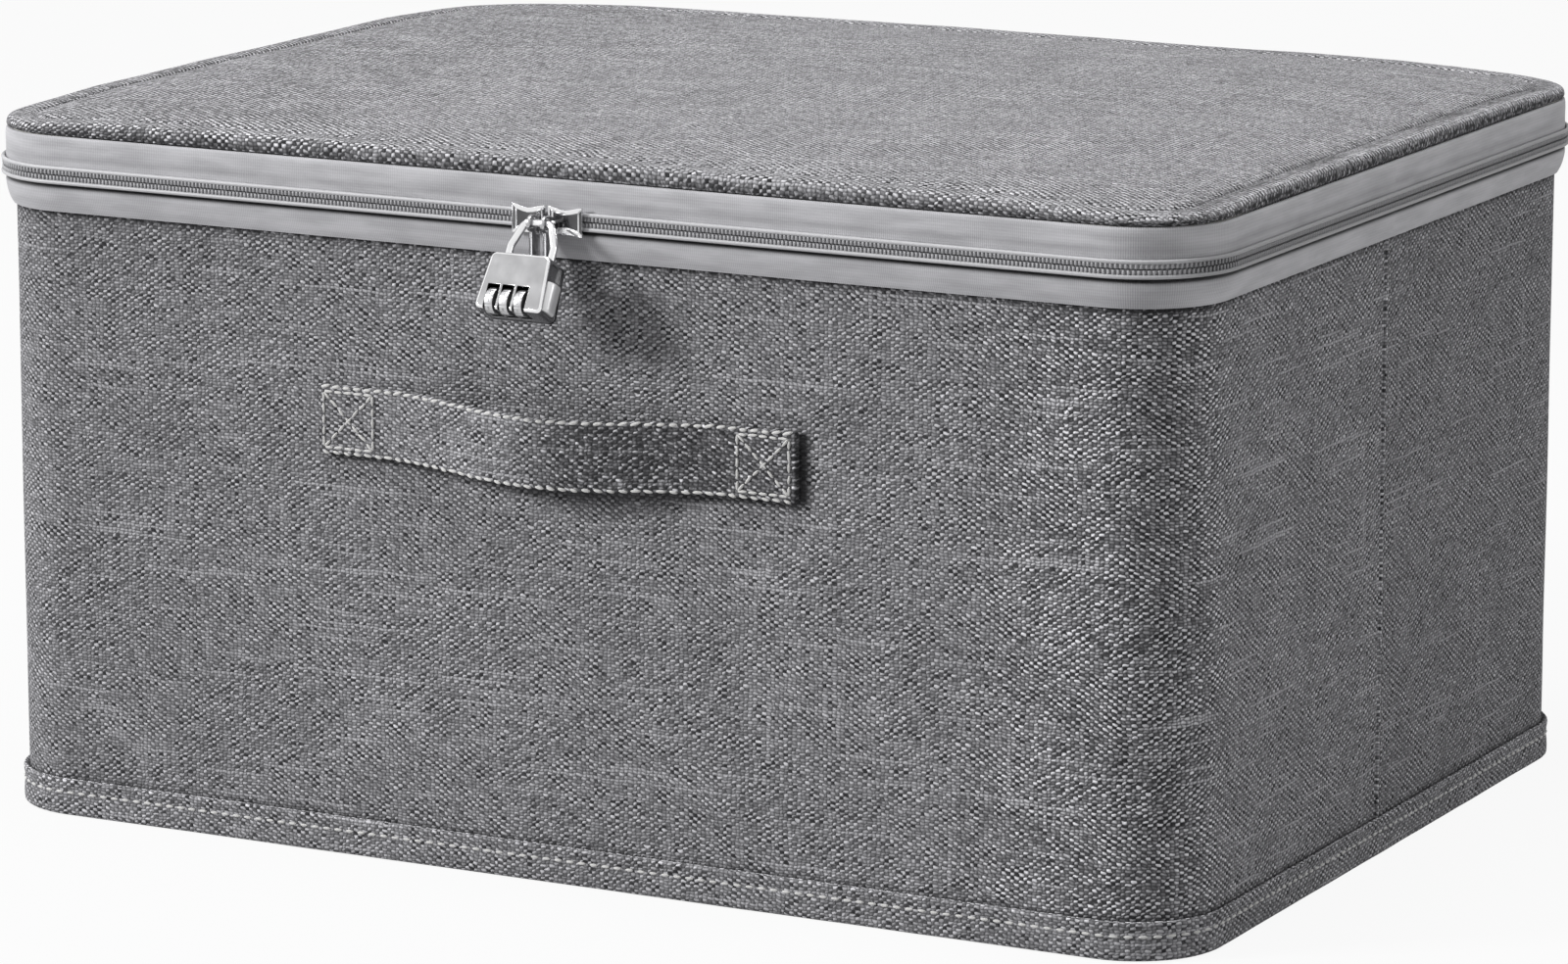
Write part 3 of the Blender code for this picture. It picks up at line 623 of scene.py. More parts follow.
def makeSeam():  # where the wall cloth's ends meet on the right side: a low fold with a painted highlight, and a row of near-black dashes of painted shade for needle holes
    low, high = wallLow.z + wallLook["seamEnd"], wallHigh.z - wallLook["seamEnd"]
    middle = Vector((halfX, boxForm["seam"] - 0.7 * mm, (low + high) / 2))
    size = Matrix.Diagonal((wallLook["foldRise"], wallLook["foldWide"] / 2, 1, 1))
    bm = bmesh.new()
    bmesh.ops.create_cone(bm, cap_ends=True, segments=24, radius1=1, radius2=1, depth=high - low,
                          matrix=Matrix.Translation(middle) @ size)
    darken(bm, lambda co: -0.5, -0.5)  # painted highlight along the fold
    layAround(bm)
    fold = addPiece("wallSeam", bm, linen, "box")
    bm = bmesh.new()
    out, up = Vector((1, 0, 0)), Vector((0, 0, 1))
    count = round((high - low) / wallLook["needle"])
    for index in range(count):
        height = low + (high - low) * (index + 0.5) / count
        addStitch(bm, Vector((halfX + 0.15 * mm, boxForm["seam"] + 0.45 * mm, height)), out, up, *wallLook["hole"])
    return [fold, addPiece("seamHoles", bm, enamelAndHoleShade, "box")]


baseLook = {
    "pitch": 4.0 * mm, "dash": 2.7 * mm, "thread": 0.50 * mm, "stitchUp": 7.4 * mm, "pucker": 0.128 * mm,
    "inset": 8.2 * mm, "panelInset": 8.5 * mm, "panelEdge": 0.25 * mm, "rubbed": -0.55, "free": 0.6 * mm,
}


def makeBase():
    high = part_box("base_binding")[1]
    proud, top = high.x - halfX, high.z
    inset = -baseLook["inset"]
    face = smoothLine([
        (inset, 0.0), (-3 * mm, 0.0), (proud - 0.2 * mm, 0.0), (proud, 2.2 * mm), (proud - 0.1 * mm, 5 * mm),
        (proud - 0.5 * mm, baseLook["stitchUp"]), (proud - 0.1 * mm, top - 2.0 * mm),
        (proud + 0.05 * mm, top - 0.8 * mm), (proud - 0.4 * mm, top), (0.9 * mm, top), (0.45 * mm, top - 0.5 * mm),
    ])
    inner = [(0.3 * mm, top - 0.9 * mm), (0.3 * mm, 1.0 * mm), (inset, 1.0 * mm)]
    bm = sweep(face + inner, wallRoute, 1.0 * mm)
    for vert in bm.verts:  # the edge puckers between the stitches
        along, out = around(*vert.co.xy)
        if out > baseLook["free"]:
            near = max(0, 1 - abs(vert.co.z - top + 1.5 * mm) / (3.5 * mm))
            vert.co.z += math.cos(math.tau * along / baseLook["pitch"]) * near * baseLook["pucker"]
    soften(bm, 0.22 * mm, 18 * mm, 1.3, lambda co: 1 if around(*co.xy)[1] > baseLook["free"] else 0)
    rubbed = baseLook["rubbed"]  # painted highlight along the fold's crest
    darken(bm, lambda co: rubbed * max(0, 1 - abs(co.z - top + 0.4 * mm) / (0.9 * mm)), rubbed)
    layAround(bm)
    binding = addPiece("baseBinding", bm, linen, "box", ["base_binding"])
    count = round(perimeter / baseLook["pitch"])
    bm = bmesh.new()
    for index in range(count):
        point, out = onRoute(perimeter * index / count)
        middle = point + out * (proud - 0.42 * mm) + Vector((0, 0, baseLook["stitchUp"]))
        addStitch(bm, middle, out, Vector((-out.y, out.x, 0)), baseLook["dash"], baseLook["thread"])
    stitches = addPiece("baseStitches", bm, thread, "box")
    low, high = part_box("base_cloth")
    panel = flatPanel(baseLook["panelInset"], low.z, high.z, baseLook["panelEdge"])
    layFlat(panel, (0, 1))
    under = addPiece("baseCloth", panel, linen, "box", ["base_cloth"])
    print("base bound and stitched")


def flatPanel(inset, low, high, edge):  # a flat sheet or slab inside the walls' outline
    bm = wallOutline(inset, low)
    floor = bmesh.ops.contextual_create(bm, geom=bm.edges[:])["faces"]
    grown = bmesh.ops.extrude_face_region(bm, geom=floor)["geom"]
    verts = [item for item in grown if isinstance(item, bmesh.types.BMVert)]
    bmesh.ops.translate(bm, verts=verts, vec=(0, 0, high - low))
    bmesh.ops.recalc_face_normals(bm, faces=bm.faces)
    breakEdges(bm, sharpEdges(bm), edge)
    return bm


feltLook = {"thick": 4.0 * mm, "edge": 0.3 * mm, "panelEdge": 0.25 * mm}
tubLook = {"thick": 0.8 * mm, "fold": 3 * mm, "steps": 5, "rows": 12}
rimLook = {"leg": 9.5 * mm, "thick": 0.75 * mm, "cut": 21.5 * mm}


def makeInside():
    low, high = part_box("wall_felt")
    outer = high.x - halfX
    inner = outer - feltLook["thick"]
    bm = sweep([(outer, low.z), (outer, high.z), (inner, high.z), (inner, low.z)], wallRoute, 40 * mm)
    breakEdges(bm, sharpEdges(bm), feltLook["edge"])
    layAround(bm)
    addPiece("wallFelt", bm, felt, "box", ["wall_felt"])
    for name, node, material, slot, body in (
        ("baseFelt", "base_felt", felt, "felt", "box"), ("lidFelt", "lid_felt", felt, "felt", "lid"),
        ("lidLining", "lid_lining", lining, "lining", "lid"),
    ):
        low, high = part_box(node)
        bm = flatPanel(halfX - high.x, low.z, high.z, feltLook["panelEdge"])
        layFlat(bm, (0, 1))
        piece = addPiece(name, bm, material, body, [node])
    makeTub()
    makeRim()
    print("inside layers laid")


def makeTub():  # the coated lining: walls and floor in one, with a soft fold round the floor
    low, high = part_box("lining_tub")
    inset = halfX - high.x
    fold, steps = tubLook["fold"], tubLook["steps"]
    bm = wallOutline(inset + fold, low.z, 12)
    rim = bm.edges[:]
    bmesh.ops.contextual_create(bm, geom=rim)
    turns = [math.pi / 2 * step / steps for step in range(1, steps + 1)]
    rows = [(fold * math.sin(turn), fold * (1 - math.cos(turn))) for turn in turns]
    tall = high.z - low.z - fold
    rows += [(fold, fold + tall * step / tubLook["rows"]) for step in range(1, tubLook["rows"] + 1)]
    done = (0.0, 0.0)
    for reach, up in rows:
        grown = bmesh.ops.extrude_edge_only(bm, edges=rim)["geom"]
        verts = {item for item in grown if isinstance(item, bmesh.types.BMVert)}
        rim = [item for item in grown if isinstance(item, bmesh.types.BMEdge) and set(item.verts) <= verts]
        for vert in verts:
            vert.co += wayOut(vert.co) * (reach - done[0]) + Vector((0, 0, up - done[1]))
        done = (reach, up)
    bmesh.ops.recalc_face_normals(bm, faces=bm.faces)
    floor = max(bm.faces, key=lambda face: face.calc_area())
    if floor.normal.z > 0:
        bmesh.ops.reverse_faces(bm, faces=bm.faces)
    bmesh.ops.solidify(bm, geom=bm.faces[:], thickness=tubLook["thick"])
    layAround(bm)
    tub = addPiece("liningTub", bm, lining, "box", ["lining_tub"])
    span = 4 * (halfX - inset) * (halfY - inset) + (perimeter - math.tau * inset) * (high.z - low.z)


def makeRim():  # the binding over the top of the walls
    low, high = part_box("rim_binding")
    leg, top = -rimLook["leg"], high.z
    line = smoothLine([
        (-0.1 * mm, top - 1.1 * mm), (-0.1 * mm, top - 0.1 * mm), (-1.2 * mm, top), (leg + mm, top),
        (leg, top - 0.2 * mm), (leg, top - 2 * mm), (leg, low.z),
    ])
    bm = sweep(thicken(line, -rimLook["thick"]), wallRoute, 12 * mm)
    layAround(bm)
    rim = addPiece("rimBinding", bm, tape, "box", ["rim_binding"])


def tapeLine(word, rounds=2):  # one face of a tape
    return smoothLine([(zipLook["stand"] + out * mm, zipLine + up * mm) for out, up in zipLook[word]], rounds)


def makeTapes():
    def clear(co):  # the chain holds its edge of the tape straight
        return min(1, max(0, (abs(co.z - zipLine) - 3.5 * mm) / (3 * mm)))

    for word, side, body, under in (("lower", 1, "box", "wallCover"), ("upper", -1, "lid", "lidCover")):
        line = tapeLine(word)
        bm = sweep(thicken(line, -side * zipLook["thick"]), zipRoute, 4 * mm)
        soften(bm, 0.10 * mm, 22 * mm, 5.1 + side, clear)
        depth, up, fade = zipLook["soil"][word]  # painted shadow under the chain, and fainter painted shade above it
        darken(bm, lambda co: depth - abs(co.z - zipLine - up) / fade)
        layAround(bm)
        piece = addPiece(word + "Tape", bm, tape, body, [word + "_tape"])
        flat = (lineLength(line), perimeter - 2 * cornerX)
    print("tapes sewn")


def makeChain():  # each half: a corded lip along its tape and a row of nylon teeth, the rows half a pitch apart
    span = perimeter - 2 * cornerX
    count = int(span / zipLook["tooth"])
    out, lip = zipLook["stand"] + 0.3 * mm, zipLook["lip"]
    for word, side, body, first in (("lower", -1, "box", 0.75), ("upper", 1, "lid", 0.25)):
        nodes = [word + "_coil"]
        middle = zipLine + side * (zipLook["chain"] - lip)
        near, far = zipLine + side * 0.16 * mm, zipLine + side * (zipLook["chain"] - 1.7 * lip)
        ring = [(out + lip * 0.95 + lip * math.cos(turn), middle + lip * math.sin(turn))
                for turn in (math.tau * step / 10 for step in range(10))]
        addPiece(word + "Lip", sweep(ring, zipRoute, 12 * mm), lipNylon, body, nodes)
        tooth = bmesh.new()
        block(tooth, (0, 0, 0), (zipLook["toothWide"], zipLook["toothDeep"], abs(far - near)))
        breakEdges(tooth, tooth.edges[:], 0.24 * mm, 1)
        mesh = meshFrom("tooth", tooth)
        bm = bmesh.new()
        for index in range(count):
            point, away = onRoute((index + first) * zipLook["tooth"] - span / 2)
            centre = point + away * (out + 0.46 * mm) + Vector((0, 0, (near + far) / 2))
            axes = Matrix((Vector((-away.y, away.x, 0)), away, Vector((0, 0, 1)))).transposed().to_4x4()
            stamp(bm, mesh, Matrix.Translation(centre) @ axes)
        addPiece(word + "Teeth", bm, nylon, body, nodes, 60)
        back, front = out - 0.05 * mm, out + 0.25 * mm
        bm = sweep([(back, near), (front, near), (front, middle), (back, middle)], zipRoute, 20 * mm)
        layAround(bm)
        addPiece(word + "Bed", bm, nylon, body, nodes)
    print("zip chain:", count, "teeth a side")


def makeHinge():  # one strip of tape across the back, spanning the box and the lid
    half = cornerX - 0.4 * mm
    bm = bmesh.new()
    section = thicken(tapeLine("hinge", 4), zipLook["thick"])
    geom = closedLine(bm, [(-half, halfY + out, z) for out, z in section])
    bmesh.ops.spin(bm, geom=geom, axis=(0, 0, 1), dvec=(half / 20, 0, 0), angle=0, steps=40)
    capEnds(bm)
    layFlat(bm, (0, 2))
    strip = addPiece("hingeTape", bm, tape, None, ["hinge_lower", "hinge_upper"])
    place, bend = halfY + zipLook["stand"], zipLook["hingeBend"]
    zipLine - bend
    zipLine + bend
    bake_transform(strip)


lidLook = {
    "crown": 2.9 * mm, "bow": 0.9 * mm, "thick": 0.8 * mm, "spread": 9 * mm, "edge": 9 * mm,
    "profile": [  # mm in from the walls' face, and up from the zip
        (0.2, 0.5), (0.2, 10.6), (-0.2, 11.4), (-1.4, 11.7), (-2.1, 12.1), (-2.3, 13.2), (-2.25, 14.6),
        (-2.0, 15.7), (-1.0, 16.4), (0.6, 16.6), (3.2, 16.6), (5.4, 16.5), (6.8, 15.5), (8.2, 16.5), (11, 17.0),
        (19, 17.4), (26.5, 17.7),
    ],
    # strip: depth of painted shade under the puffed edge; crest: strength of painted highlight on its crest
    "cornerDrop": 2.2 * mm, "cornerReach": 60 * mm, "strip": 0.92, "crest": 0.4, "padGap": 1.3 * mm,
}


def lidProfile():  # (run, inset, height) along the lid's edge, from its foot inwards
    line = smoothLine([(inset * mm, up * mm) for inset, up in lidLook["profile"]])
    rows = [(lineLength(line[:index + 1]), *point) for index, point in enumerate(line)]
    return [row for row in rows if row[1] <= boxForm["corner"]]


def lidAxis(share, half, rows):  # one axis of the grid: the edge's row if any, its side, its place on the flat top
    inner = half - rows[-1][1]
    count = round(2 * inner / lidLook["spread"])
    last = 2 * len(rows) + count - 2
    index = round(share * last)
    side = -1 if index < (last + 1) / 2 else 1
    if min(index, last - index) < len(rows):
        return rows[min(index, last - index)], side, side * inner
    return None, side, inner * (2 * (index - len(rows) + 1) / count - 1)


def lidShading(row, y, turn, right, onSide):  # painted shade under the puffed edge and in the right side's crease, painted highlight on the crest
    inset, up = row[1:]
    strip = lidLook["strip"] * min((up - 10.5 * mm) / mm, (15.6 * mm - up) / (1.6 * mm))
    strip *= (0.45 + 0.55 * math.cos(turn) * right) * (inset < 0)
    crease = max(0, min((inset - 0.8 * mm) / mm, (8.4 * mm - inset) / (1.8 * mm), 1)) * (onSide and right)
    crease *= 0.46 + noise.noise(Vector((7.1, y / (14 * mm), 0.5))) * 0.5
    crest = max(0, 1 - abs(inset + 0.8 * mm) / (1.5 * mm)) * (up > 15 * mm) * math.cos(turn)
    return max(0.0, min(0.9, max(strip, crease))) - lidLook["crest"] * crest


def lidSkin(depth):  # the lid's outer skin as one grid, drawn over its edges and thinned inwards by depth
    rows = lidProfile()
    endRun, endInset, endUp = rows[-1]
    flat = [round(2 * (half - endInset) / lidLook["spread"]) for half in (halfX, halfY)]
    cells = [2 * len(rows) + count - 2 for count in flat]
    bm = bmesh.new()
    bmesh.ops.create_grid(bm, x_segments=cells[0], y_segments=cells[1], size=0.5)
    lay = bm.loops.layers.uv.new("lay")
    soil = bm.verts.layers.float.new("soil")
    cloth = {}
    for vert in bm.verts:
        rowX, signX, x = lidAxis(vert.co.x + 0.5, halfX, rows)
        rowY, signY, y = lidAxis(vert.co.y + 0.5, halfY, rows)
        runX, runY = (endRun - row[0] if row else 0 for row in (rowX, rowY))
        far, onSide, up = max(runX, runY), runX >= runY, endUp
        cloth[vert] = (x, y)
        if far:
            row = rowX if onSide else rowY
            turn = math.pi / 4 * min(runX, runY) / far
            turn = turn if onSide else math.pi / 2 - turn
            away = Vector((signX * math.cos(turn), signY * math.sin(turn)))
            cloth[vert] = (x + away.x * far, y + away.y * far)
            x += away.x * (endInset - row[1] - depth)
            y += away.y * (endInset - row[1] - depth)
            up = row[2]
            vert[soil] = lidShading(row, y, turn, signX > 0, onSide)
        edge = lidLook["edge"]
        crown = max(0, 1 - abs(x / (halfX - edge)) ** 3) * max(0, 1 - abs(y / (halfY - edge)) ** 3)
        raised = max(0, min(1, (up - 12 * mm) / (3 * mm)))
        bowed = max(0, 1 - (x / halfX) ** 2) * raised
        reach = lidLook["cornerReach"]
        near = max(0, 1 - (halfX - abs(x)) / reach) * max(0, 1 - (halfY - abs(y)) / reach)
        drop = depth * (up > 13 * mm) + lidLook["cornerDrop"] * near * raised
        vert.co = (x, y, zipLine + up - drop + lidLook["crown"] * crown + lidLook["bow"] * bowed)
    for face in bm.faces:
        for loop in face.loops:
            loop[lay].uv = cloth[loop.vert]
    return bm


def makeLid():
    bm = lidSkin(0)
    for vert in bm.verts:  # the padding is a little uneven
        if vert.co.z > zipLine + 13 * mm:
            broad, fine = noise.noise(vert.co / (38 * mm)), noise.noise(vert.co / (11 * mm))
            vert.co.z += broad * 0.35 * mm + fine * 0.10 * mm
    bmesh.ops.recalc_face_normals(bm, faces=bm.faces)
    if max(bm.faces, key=lambda face: face.calc_area()).normal.z < 0:
        bmesh.ops.reverse_faces(bm, faces=bm.faces)
    bmesh.ops.solidify(bm, geom=bm.faces[:], thickness=lidLook["thick"])
    cover = addPiece("lidCover", bm, lidLinen, "lid", ["lid_cloth"])
    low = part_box("lid_pad")[0].z
    bm = lidSkin(lidLook["padGap"])
    for vert in bm.verts:
        vert.co.z = low if vert.is_boundary else max(vert.co.z, low)
    bmesh.ops.remove_doubles(bm, verts=bm.verts, dist=0.02 * mm)
    capEnds(bm)
    addPiece("lidPad", bm, foam, "lid", ["lid_pad"])
    print("lid padded and covered")


strapLook = {
    "end": 80 * mm, "sewn": 60 * mm, "wide": 20.6 * mm, "thick": 3.0 * mm, "under": 0.5 * mm, "bow": 11.5 * mm,
    "sag": 1.2 * mm, "middle": 133.5 * mm, "gap": 0.3 * mm, "edge": 0.8 * mm, "swell": 0.3 * mm, "whip": 0.14 * mm,
    "pitch": 3.6 * mm, "dash": 2.9 * mm, "thread": 0.54 * mm, "turned": 32 * mm, "half": 84 * mm,
    "square": 8.4 * mm, "squareIn": 10.6 * mm, "cross": (3.4 * mm, 2.9 * mm, 0.46 * mm), "rubbed": (0.57, 0.42),
}


def strapLift(x):
    reach = strapLook["sewn"]
    return math.cos(math.pi * x / (2 * reach)) ** 2 if abs(x) < reach else 0.0


def strapMove(co):  # bows a flat strap out from the wall and lets it sag
    lift = strapLift(co.x)
    return co + Vector((0, -strapLook["bow"] * lift, -strapLook["sag"] * lift))


def strapShading(co):  # painted shade on its end faces, along its foot and over its right half
    end = (abs(co.x) - strapLook["end"] + 0.7 * mm) / (0.4 * mm) * 0.9
    low = strapLook["middle"] - strapLook["wide"] / 2 - strapLook["sag"] * strapLift(co.x)
    foot = (low + 0.5 * mm - co.z) / (0.5 * mm) * 0.55
    rubbed = min(1, (co.x + 12 * mm) / (26 * mm)) * strapLook["rubbed"][co.x >= strapLook["sewn"]]
    return max(end, foot, rubbed)


def makeHandle():
    back = -halfY - strapLook["gap"]
    front = back - strapLook["thick"]
    half, level = strapLook["wide"] / 2, strapLook["middle"]
    for word, side in (("Left", -1), ("Right", 1)):
        bm = bmesh.new()
        size = (strapLook["end"], strapLook["thick"], strapLook["wide"])
        block(bm, Vector((side * strapLook["end"] / 2, (front + back) / 2, level)), size)
        for axis, cuts in ((0, 79), (2, 7)):
            runs = edgesAlong(bm.edges, axis, 0.5 * mm)
            bmesh.ops.subdivide_edges(bm, edges=runs, cuts=cuts, use_grid_fill=True)
        outer = [edge for edge in sharpEdges(bm, 1) if any(abs(vert.co.x) >= 0.01 * mm for vert in edge.verts)]
        breakEdges(bm, outer, strapLook["edge"], 3)
        layFlat(bm, (0, 2))
        for vert in bm.verts:
            flat = vert.co.copy()
            rim = max(0, (abs(flat.z - level) / half - 0.7) / 0.3)
            whip = math.cos(math.tau * flat.x / strapLook["pitch"]) * strapLook["whip"] * rim
            swell = noise.noise(flat / (16 * mm)) * strapLook["swell"] * (strapLift(flat.x) > 0)
            lifted = max(0, min(1, (abs(flat.x) - strapLook["end"] + 2.6 * mm) / (1.6 * mm)))
            lifted *= strapLook["under"] * (flat.y > (front + back) / 2)
            vert.co = strapMove(flat) + Vector((0, -swell - lifted, whip if flat.z > level else -whip))
        darken(bm, strapShading)
        nodes = ["handle_patch_" + word.lower(), "handle_strap"]
        strap = addPiece("strap" + word, bm, strapLinen, None, nodes)
        bm = bmesh.new()
        sewStrap(bm, side, front)
        stitches = addPiece("strapThread" + word, bm, thread)
        for piece in (strap, stitches):
            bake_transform(piece)
    print("handle sewn on")


def sewStrap(bm, side, front):  # whipped edges, and a boxed cross at the sewn end
    def seam(start, end, pitch, dash, radius, lean=0.0):
        start, end = Vector(start), Vector(end)
        count = max(1, round((end - start).length / pitch))
        for index in range(count):
            before, middle, after = (strapMove(start.lerp(end, (index + at) / count)) for at in (0.4, 0.5, 0.6))
            ahead = (after - before).normalized()
            out = Vector((ahead.y, -ahead.x, 0)) if abs(ahead.x) > 0.1 else Vector((0, -1, 0))
            out = out if out.y < 0 else -out
            out = (out - ahead * out.dot(ahead)).normalized()
            uneven = noise.noise(Vector((index * 3.7, start.x / mm, end.z / mm)))
            ahead = Matrix.Rotation(lean + uneven * 0.35, 3, out) @ ahead
            middle.z += uneven * 0.3 * mm
            addStitch(bm, middle, out, ahead, dash * (1 + uneven * 0.4), radius)

    y, level = front - 0.12 * mm, strapLook["middle"]
    for up in (1, -1):
        edge = level + up * (strapLook["wide"] / 2 - 0.45 * mm)
        ends = [(side * x, y + 0.25 * mm, edge) for x in (0.2 * mm, strapLook["end"] - mm)]
        seam(*ends, strapLook["pitch"], strapLook["dash"], strapLook["thread"], 0.12 * up)
    centre, reach = side * (strapLook["end"] - strapLook["squareIn"]), strapLook["square"]
    a, b, c, d = ((centre + x * reach, y, level + z * reach) for x, z in ((-1, -1), (1, -1), (1, 1), (-1, 1)))
    for start, end in ((a, b), (b, c), (c, d), (d, a), (a, c), (d, b)):
        seam(start, end, *strapLook["cross"])


def tube(name, path, radius, material, body, nodes, ribs=8):
    curve = bpy.data.curves.new(name, "CURVE")
    curve.dimensions = "3D"
    curve.bevel_depth, curve.bevel_resolution = radius, ribs
    curve.use_fill_caps = True
    spline = curve.splines.new("POLY")
    spline.points.add(len(path) - 1)
    for point, place in zip(spline.points, path):
        point.co = (*place, 1)
    bm = bmesh.new()
    bm.from_mesh(madeMesh(linked(name + "Line", curve)))
    bmesh.ops.remove_doubles(bm, verts=bm.verts, dist=0.002 * mm)
    bmesh.ops.recalc_face_normals(bm, faces=bm.faces)
    return addPiece(name, bm, material, body, nodes, 50)


def roundPath(points, radius, steps=7):  # a path with its corners turned on a radius
    path = [Vector(points[0])]
    for before, corner, after in zip(points, points[1:], points[2:]):
        corner = Vector(corner)
        arrive = (corner - Vector(before)).normalized()
        leave = (Vector(after) - corner).normalized()
        turn = arrive.angle(leave)
        start = corner - arrive * radius * math.tan(turn / 2)
        centre = corner + (leave - arrive).normalized() * (radius / math.cos(turn / 2))
        for step in range(steps + 1):
            share = turn * step / steps
            path.append(centre + (start - centre) * math.cos(share) + arrive * radius * math.sin(share))
    return path + [Vector(points[-1])]


sliderLook = {
    "mouth": 8.6 * mm, "tail": 6.6 * mm, "edge": 0.45 * mm, "wire": 0.45 * mm, "place": 2.3 * mm, "gap": 1.35 * mm,
    "stand": 4.9 * mm, "thick": 1.3 * mm, "dome": 0.35 * mm, "border": 1.3 * mm, "sunk": 0.5 * mm,
    "rail": (1.6 * mm, 0.95 * mm), "railOut": 4.15 * mm, "railDown": 3.75 * mm, "bend": 0.6 * mm,
    "sunkEdge": 0.25 * mm, "pullEdge": 0.22 * mm, "stopEdge": 0.35 * mm,
}


def makeSliders():
    for word, side in (("left", -1), ("right", 1)):
        low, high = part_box("slider_" + word)
        inner, outer = sorted((abs(low.x), abs(high.x)))
        back = -halfY - sliderLook["stand"]
        front = back - sliderLook["thick"]
        middle = Vector((side * (inner + outer) / 2, (back + front) / 2, zipLine))
        bm = bmesh.new()
        block(bm, middle, (outer - inner, back - front, sliderLook["mouth"]))
        bmesh.ops.subdivide_edges(bm, edges=edgesAlong(bm.edges, 0, mm), cuts=7)
        for vert in bm.verts:  # waisted towards the tail, and domed
            share = (abs(vert.co.x) - inner) / (outer - inner)
            narrow = (1 - sliderLook["tail"] / sliderLook["mouth"]) * math.sin(math.pi * share) ** 2
            vert.co.z = zipLine + (vert.co.z - zipLine) * (1 - narrow)
            if vert.co.y < middle.y:
                vert.co.y += sliderLook["dome"] * (2 * share - 1) ** 2
        bm.normal_update()
        face = [item for item in bm.faces if item.normal.y < -0.7]
        bmesh.ops.inset_region(bm, faces=face, thickness=sliderLook["border"], depth=0.0, use_even_offset=True)
        sunk = [item for item in bm.faces
                if item.normal.y < -0.7 and abs(item.calc_center_median().z - zipLine) < 2.2 * mm]
        bmesh.ops.inset_region(bm, faces=sunk, thickness=sliderLook["sunkEdge"], depth=-sliderLook["sunk"],
                               use_even_offset=True)
        for item in sunk:
            item.material_index = 1
        breakEdges(bm, sharpEdges(bm, 0.9), sliderLook["edge"], 3, clamp=True)
        rail = Vector((middle.x, -halfY - sliderLook["railOut"], zipLine - sliderLook["railDown"]))
        made = block(bm, rail, ((outer - inner) * 0.9, *sliderLook["rail"]))  # turns in under the chain
        breakEdges(bm, list({edge for vert in made for edge in vert.link_edges}), 0.3 * mm)
        addPiece("slider" + word.title(), bm, (chromeAndRimHighlight, gunAndWindowShade), word + "_slider", ["slider_" + word])
        near, far = front + 0.5 * mm, joints["left_pull_swing"]["pos_m"][1]
        left, right = (side * (sliderLook["place"] + gap) for gap in (-sliderLook["gap"], sliderLook["gap"]))
        turns = [(left, near, zipLine), (left, far, zipLine), (right, far, zipLine), (right, near, zipLine)]
        path = roundPath(turns, sliderLook["bend"])
        tube("bail" + word.title(), path, sliderLook["wire"], chromeAndRimHighlight, word + "_slider", [])
        softened("pull" + word.title(), "pull_" + word, word + "_pull", sliderLook["pullEdge"])
        softened("zipStop" + word.title(), "zip_stop_" + word, "box", sliderLook["stopEdge"])
    print("sliders and pulls made")


def softened(name, node, body, edge):  # a steel node with its edges broken
    bm = bmesh.new()
    bm.from_mesh(frame["nodes"][node].data)
    for layer in list(bm.loops.layers.uv.values()):
        bm.loops.layers.uv.remove(layer)
    bmesh.ops.remove_doubles(bm, verts=bm.verts, dist=0.002 * mm)
    bmesh.ops.dissolve_limit(bm, angle_limit=math.radians(2), verts=bm.verts, edges=bm.edges)
    breakEdges(bm, sharpEdges(bm, 0.7), edge, clamp=True)
    addPiece(name, bm, steel, body, [node])


lockLook = {
    "top": -11.2 * mm, "foot": -28.6 * mm, "topWide": 19.2 * mm, "footWide": 22.2 * mm, "front": -5.25 * mm,
    "back": 3.95 * mm, "cover": 1.0 * mm, "coverEdge": 0.45 * mm, "corner": 1.7 * mm, "edge": 0.75 * mm,
    "lean": math.radians(30), "gap": 0.3 * mm, "broad": 3 * mm * mm, "brink": 0.14 * mm,
    "dial": 3.9 * mm, "dialWide": 2.6 * mm, "dialProud": 0.6 * mm, "notch": 0.12 * mm, "window": 0.80 * mm,
    "dialPitch": 4.8 * mm, "dialMargin": 4.3 * mm, "bore": 1.1 * mm, "digit": 1.35 * mm,
    "legs": (7.0 * mm, 3.4 * mm), "span": 14.2 * mm, "crown": 8.6 * mm, "wire": 1.2 * mm, "neck": 4.0 * mm,
    "bend": 2.6 * mm, "button": (7.2 * mm, 9.0 * mm), "buttonUp": 5.8 * mm, "buttonMiddle": -0.45 * mm,
    "buttonProud": 1.5 * mm, "buttonDeep": 2.6 * mm, "buttonRound": 2.9 * mm, "buttonEdge": 0.7 * mm,
    "recess": (0.7 * mm, 2.6 * mm), "beyond": 5 * mm,
}
lockPlace = Matrix.Translation(joints["padlock_swing"]["pos_m"]) @ Matrix.Rotation(-lockLook["lean"], 4, "X")


def halfWide(z):
    share = (lockLook["top"] - z) / (lockLook["top"] - lockLook["foot"])
    return (lockLook["topWide"] + (lockLook["footWide"] - lockLook["topWide"]) * share) / 2


def lockBlock(front, back, frontEdge):
    top, foot = lockLook["top"], lockLook["foot"]
    bm = bmesh.new()
    block(bm, Vector((0, (front + back) / 2, (top + foot) / 2)), (1, back - front, top - foot))
    for vert in bm.verts:
        vert.co.x = math.copysign(halfWide(vert.co.z), vert.co.x)
    breakEdges(bm, edgesAlong(bm.edges, 1, 0.3 * mm), lockLook["corner"], 6)
    # the front rim takes the bright plating: a painted highlight along the front edge
    rim = [edge for edge in bm.edges if all(vert.co.y < front + 0.01 * mm for vert in edge.verts)]
    breakEdges(bm, rim, frontEdge, 5, 1)
    return bm


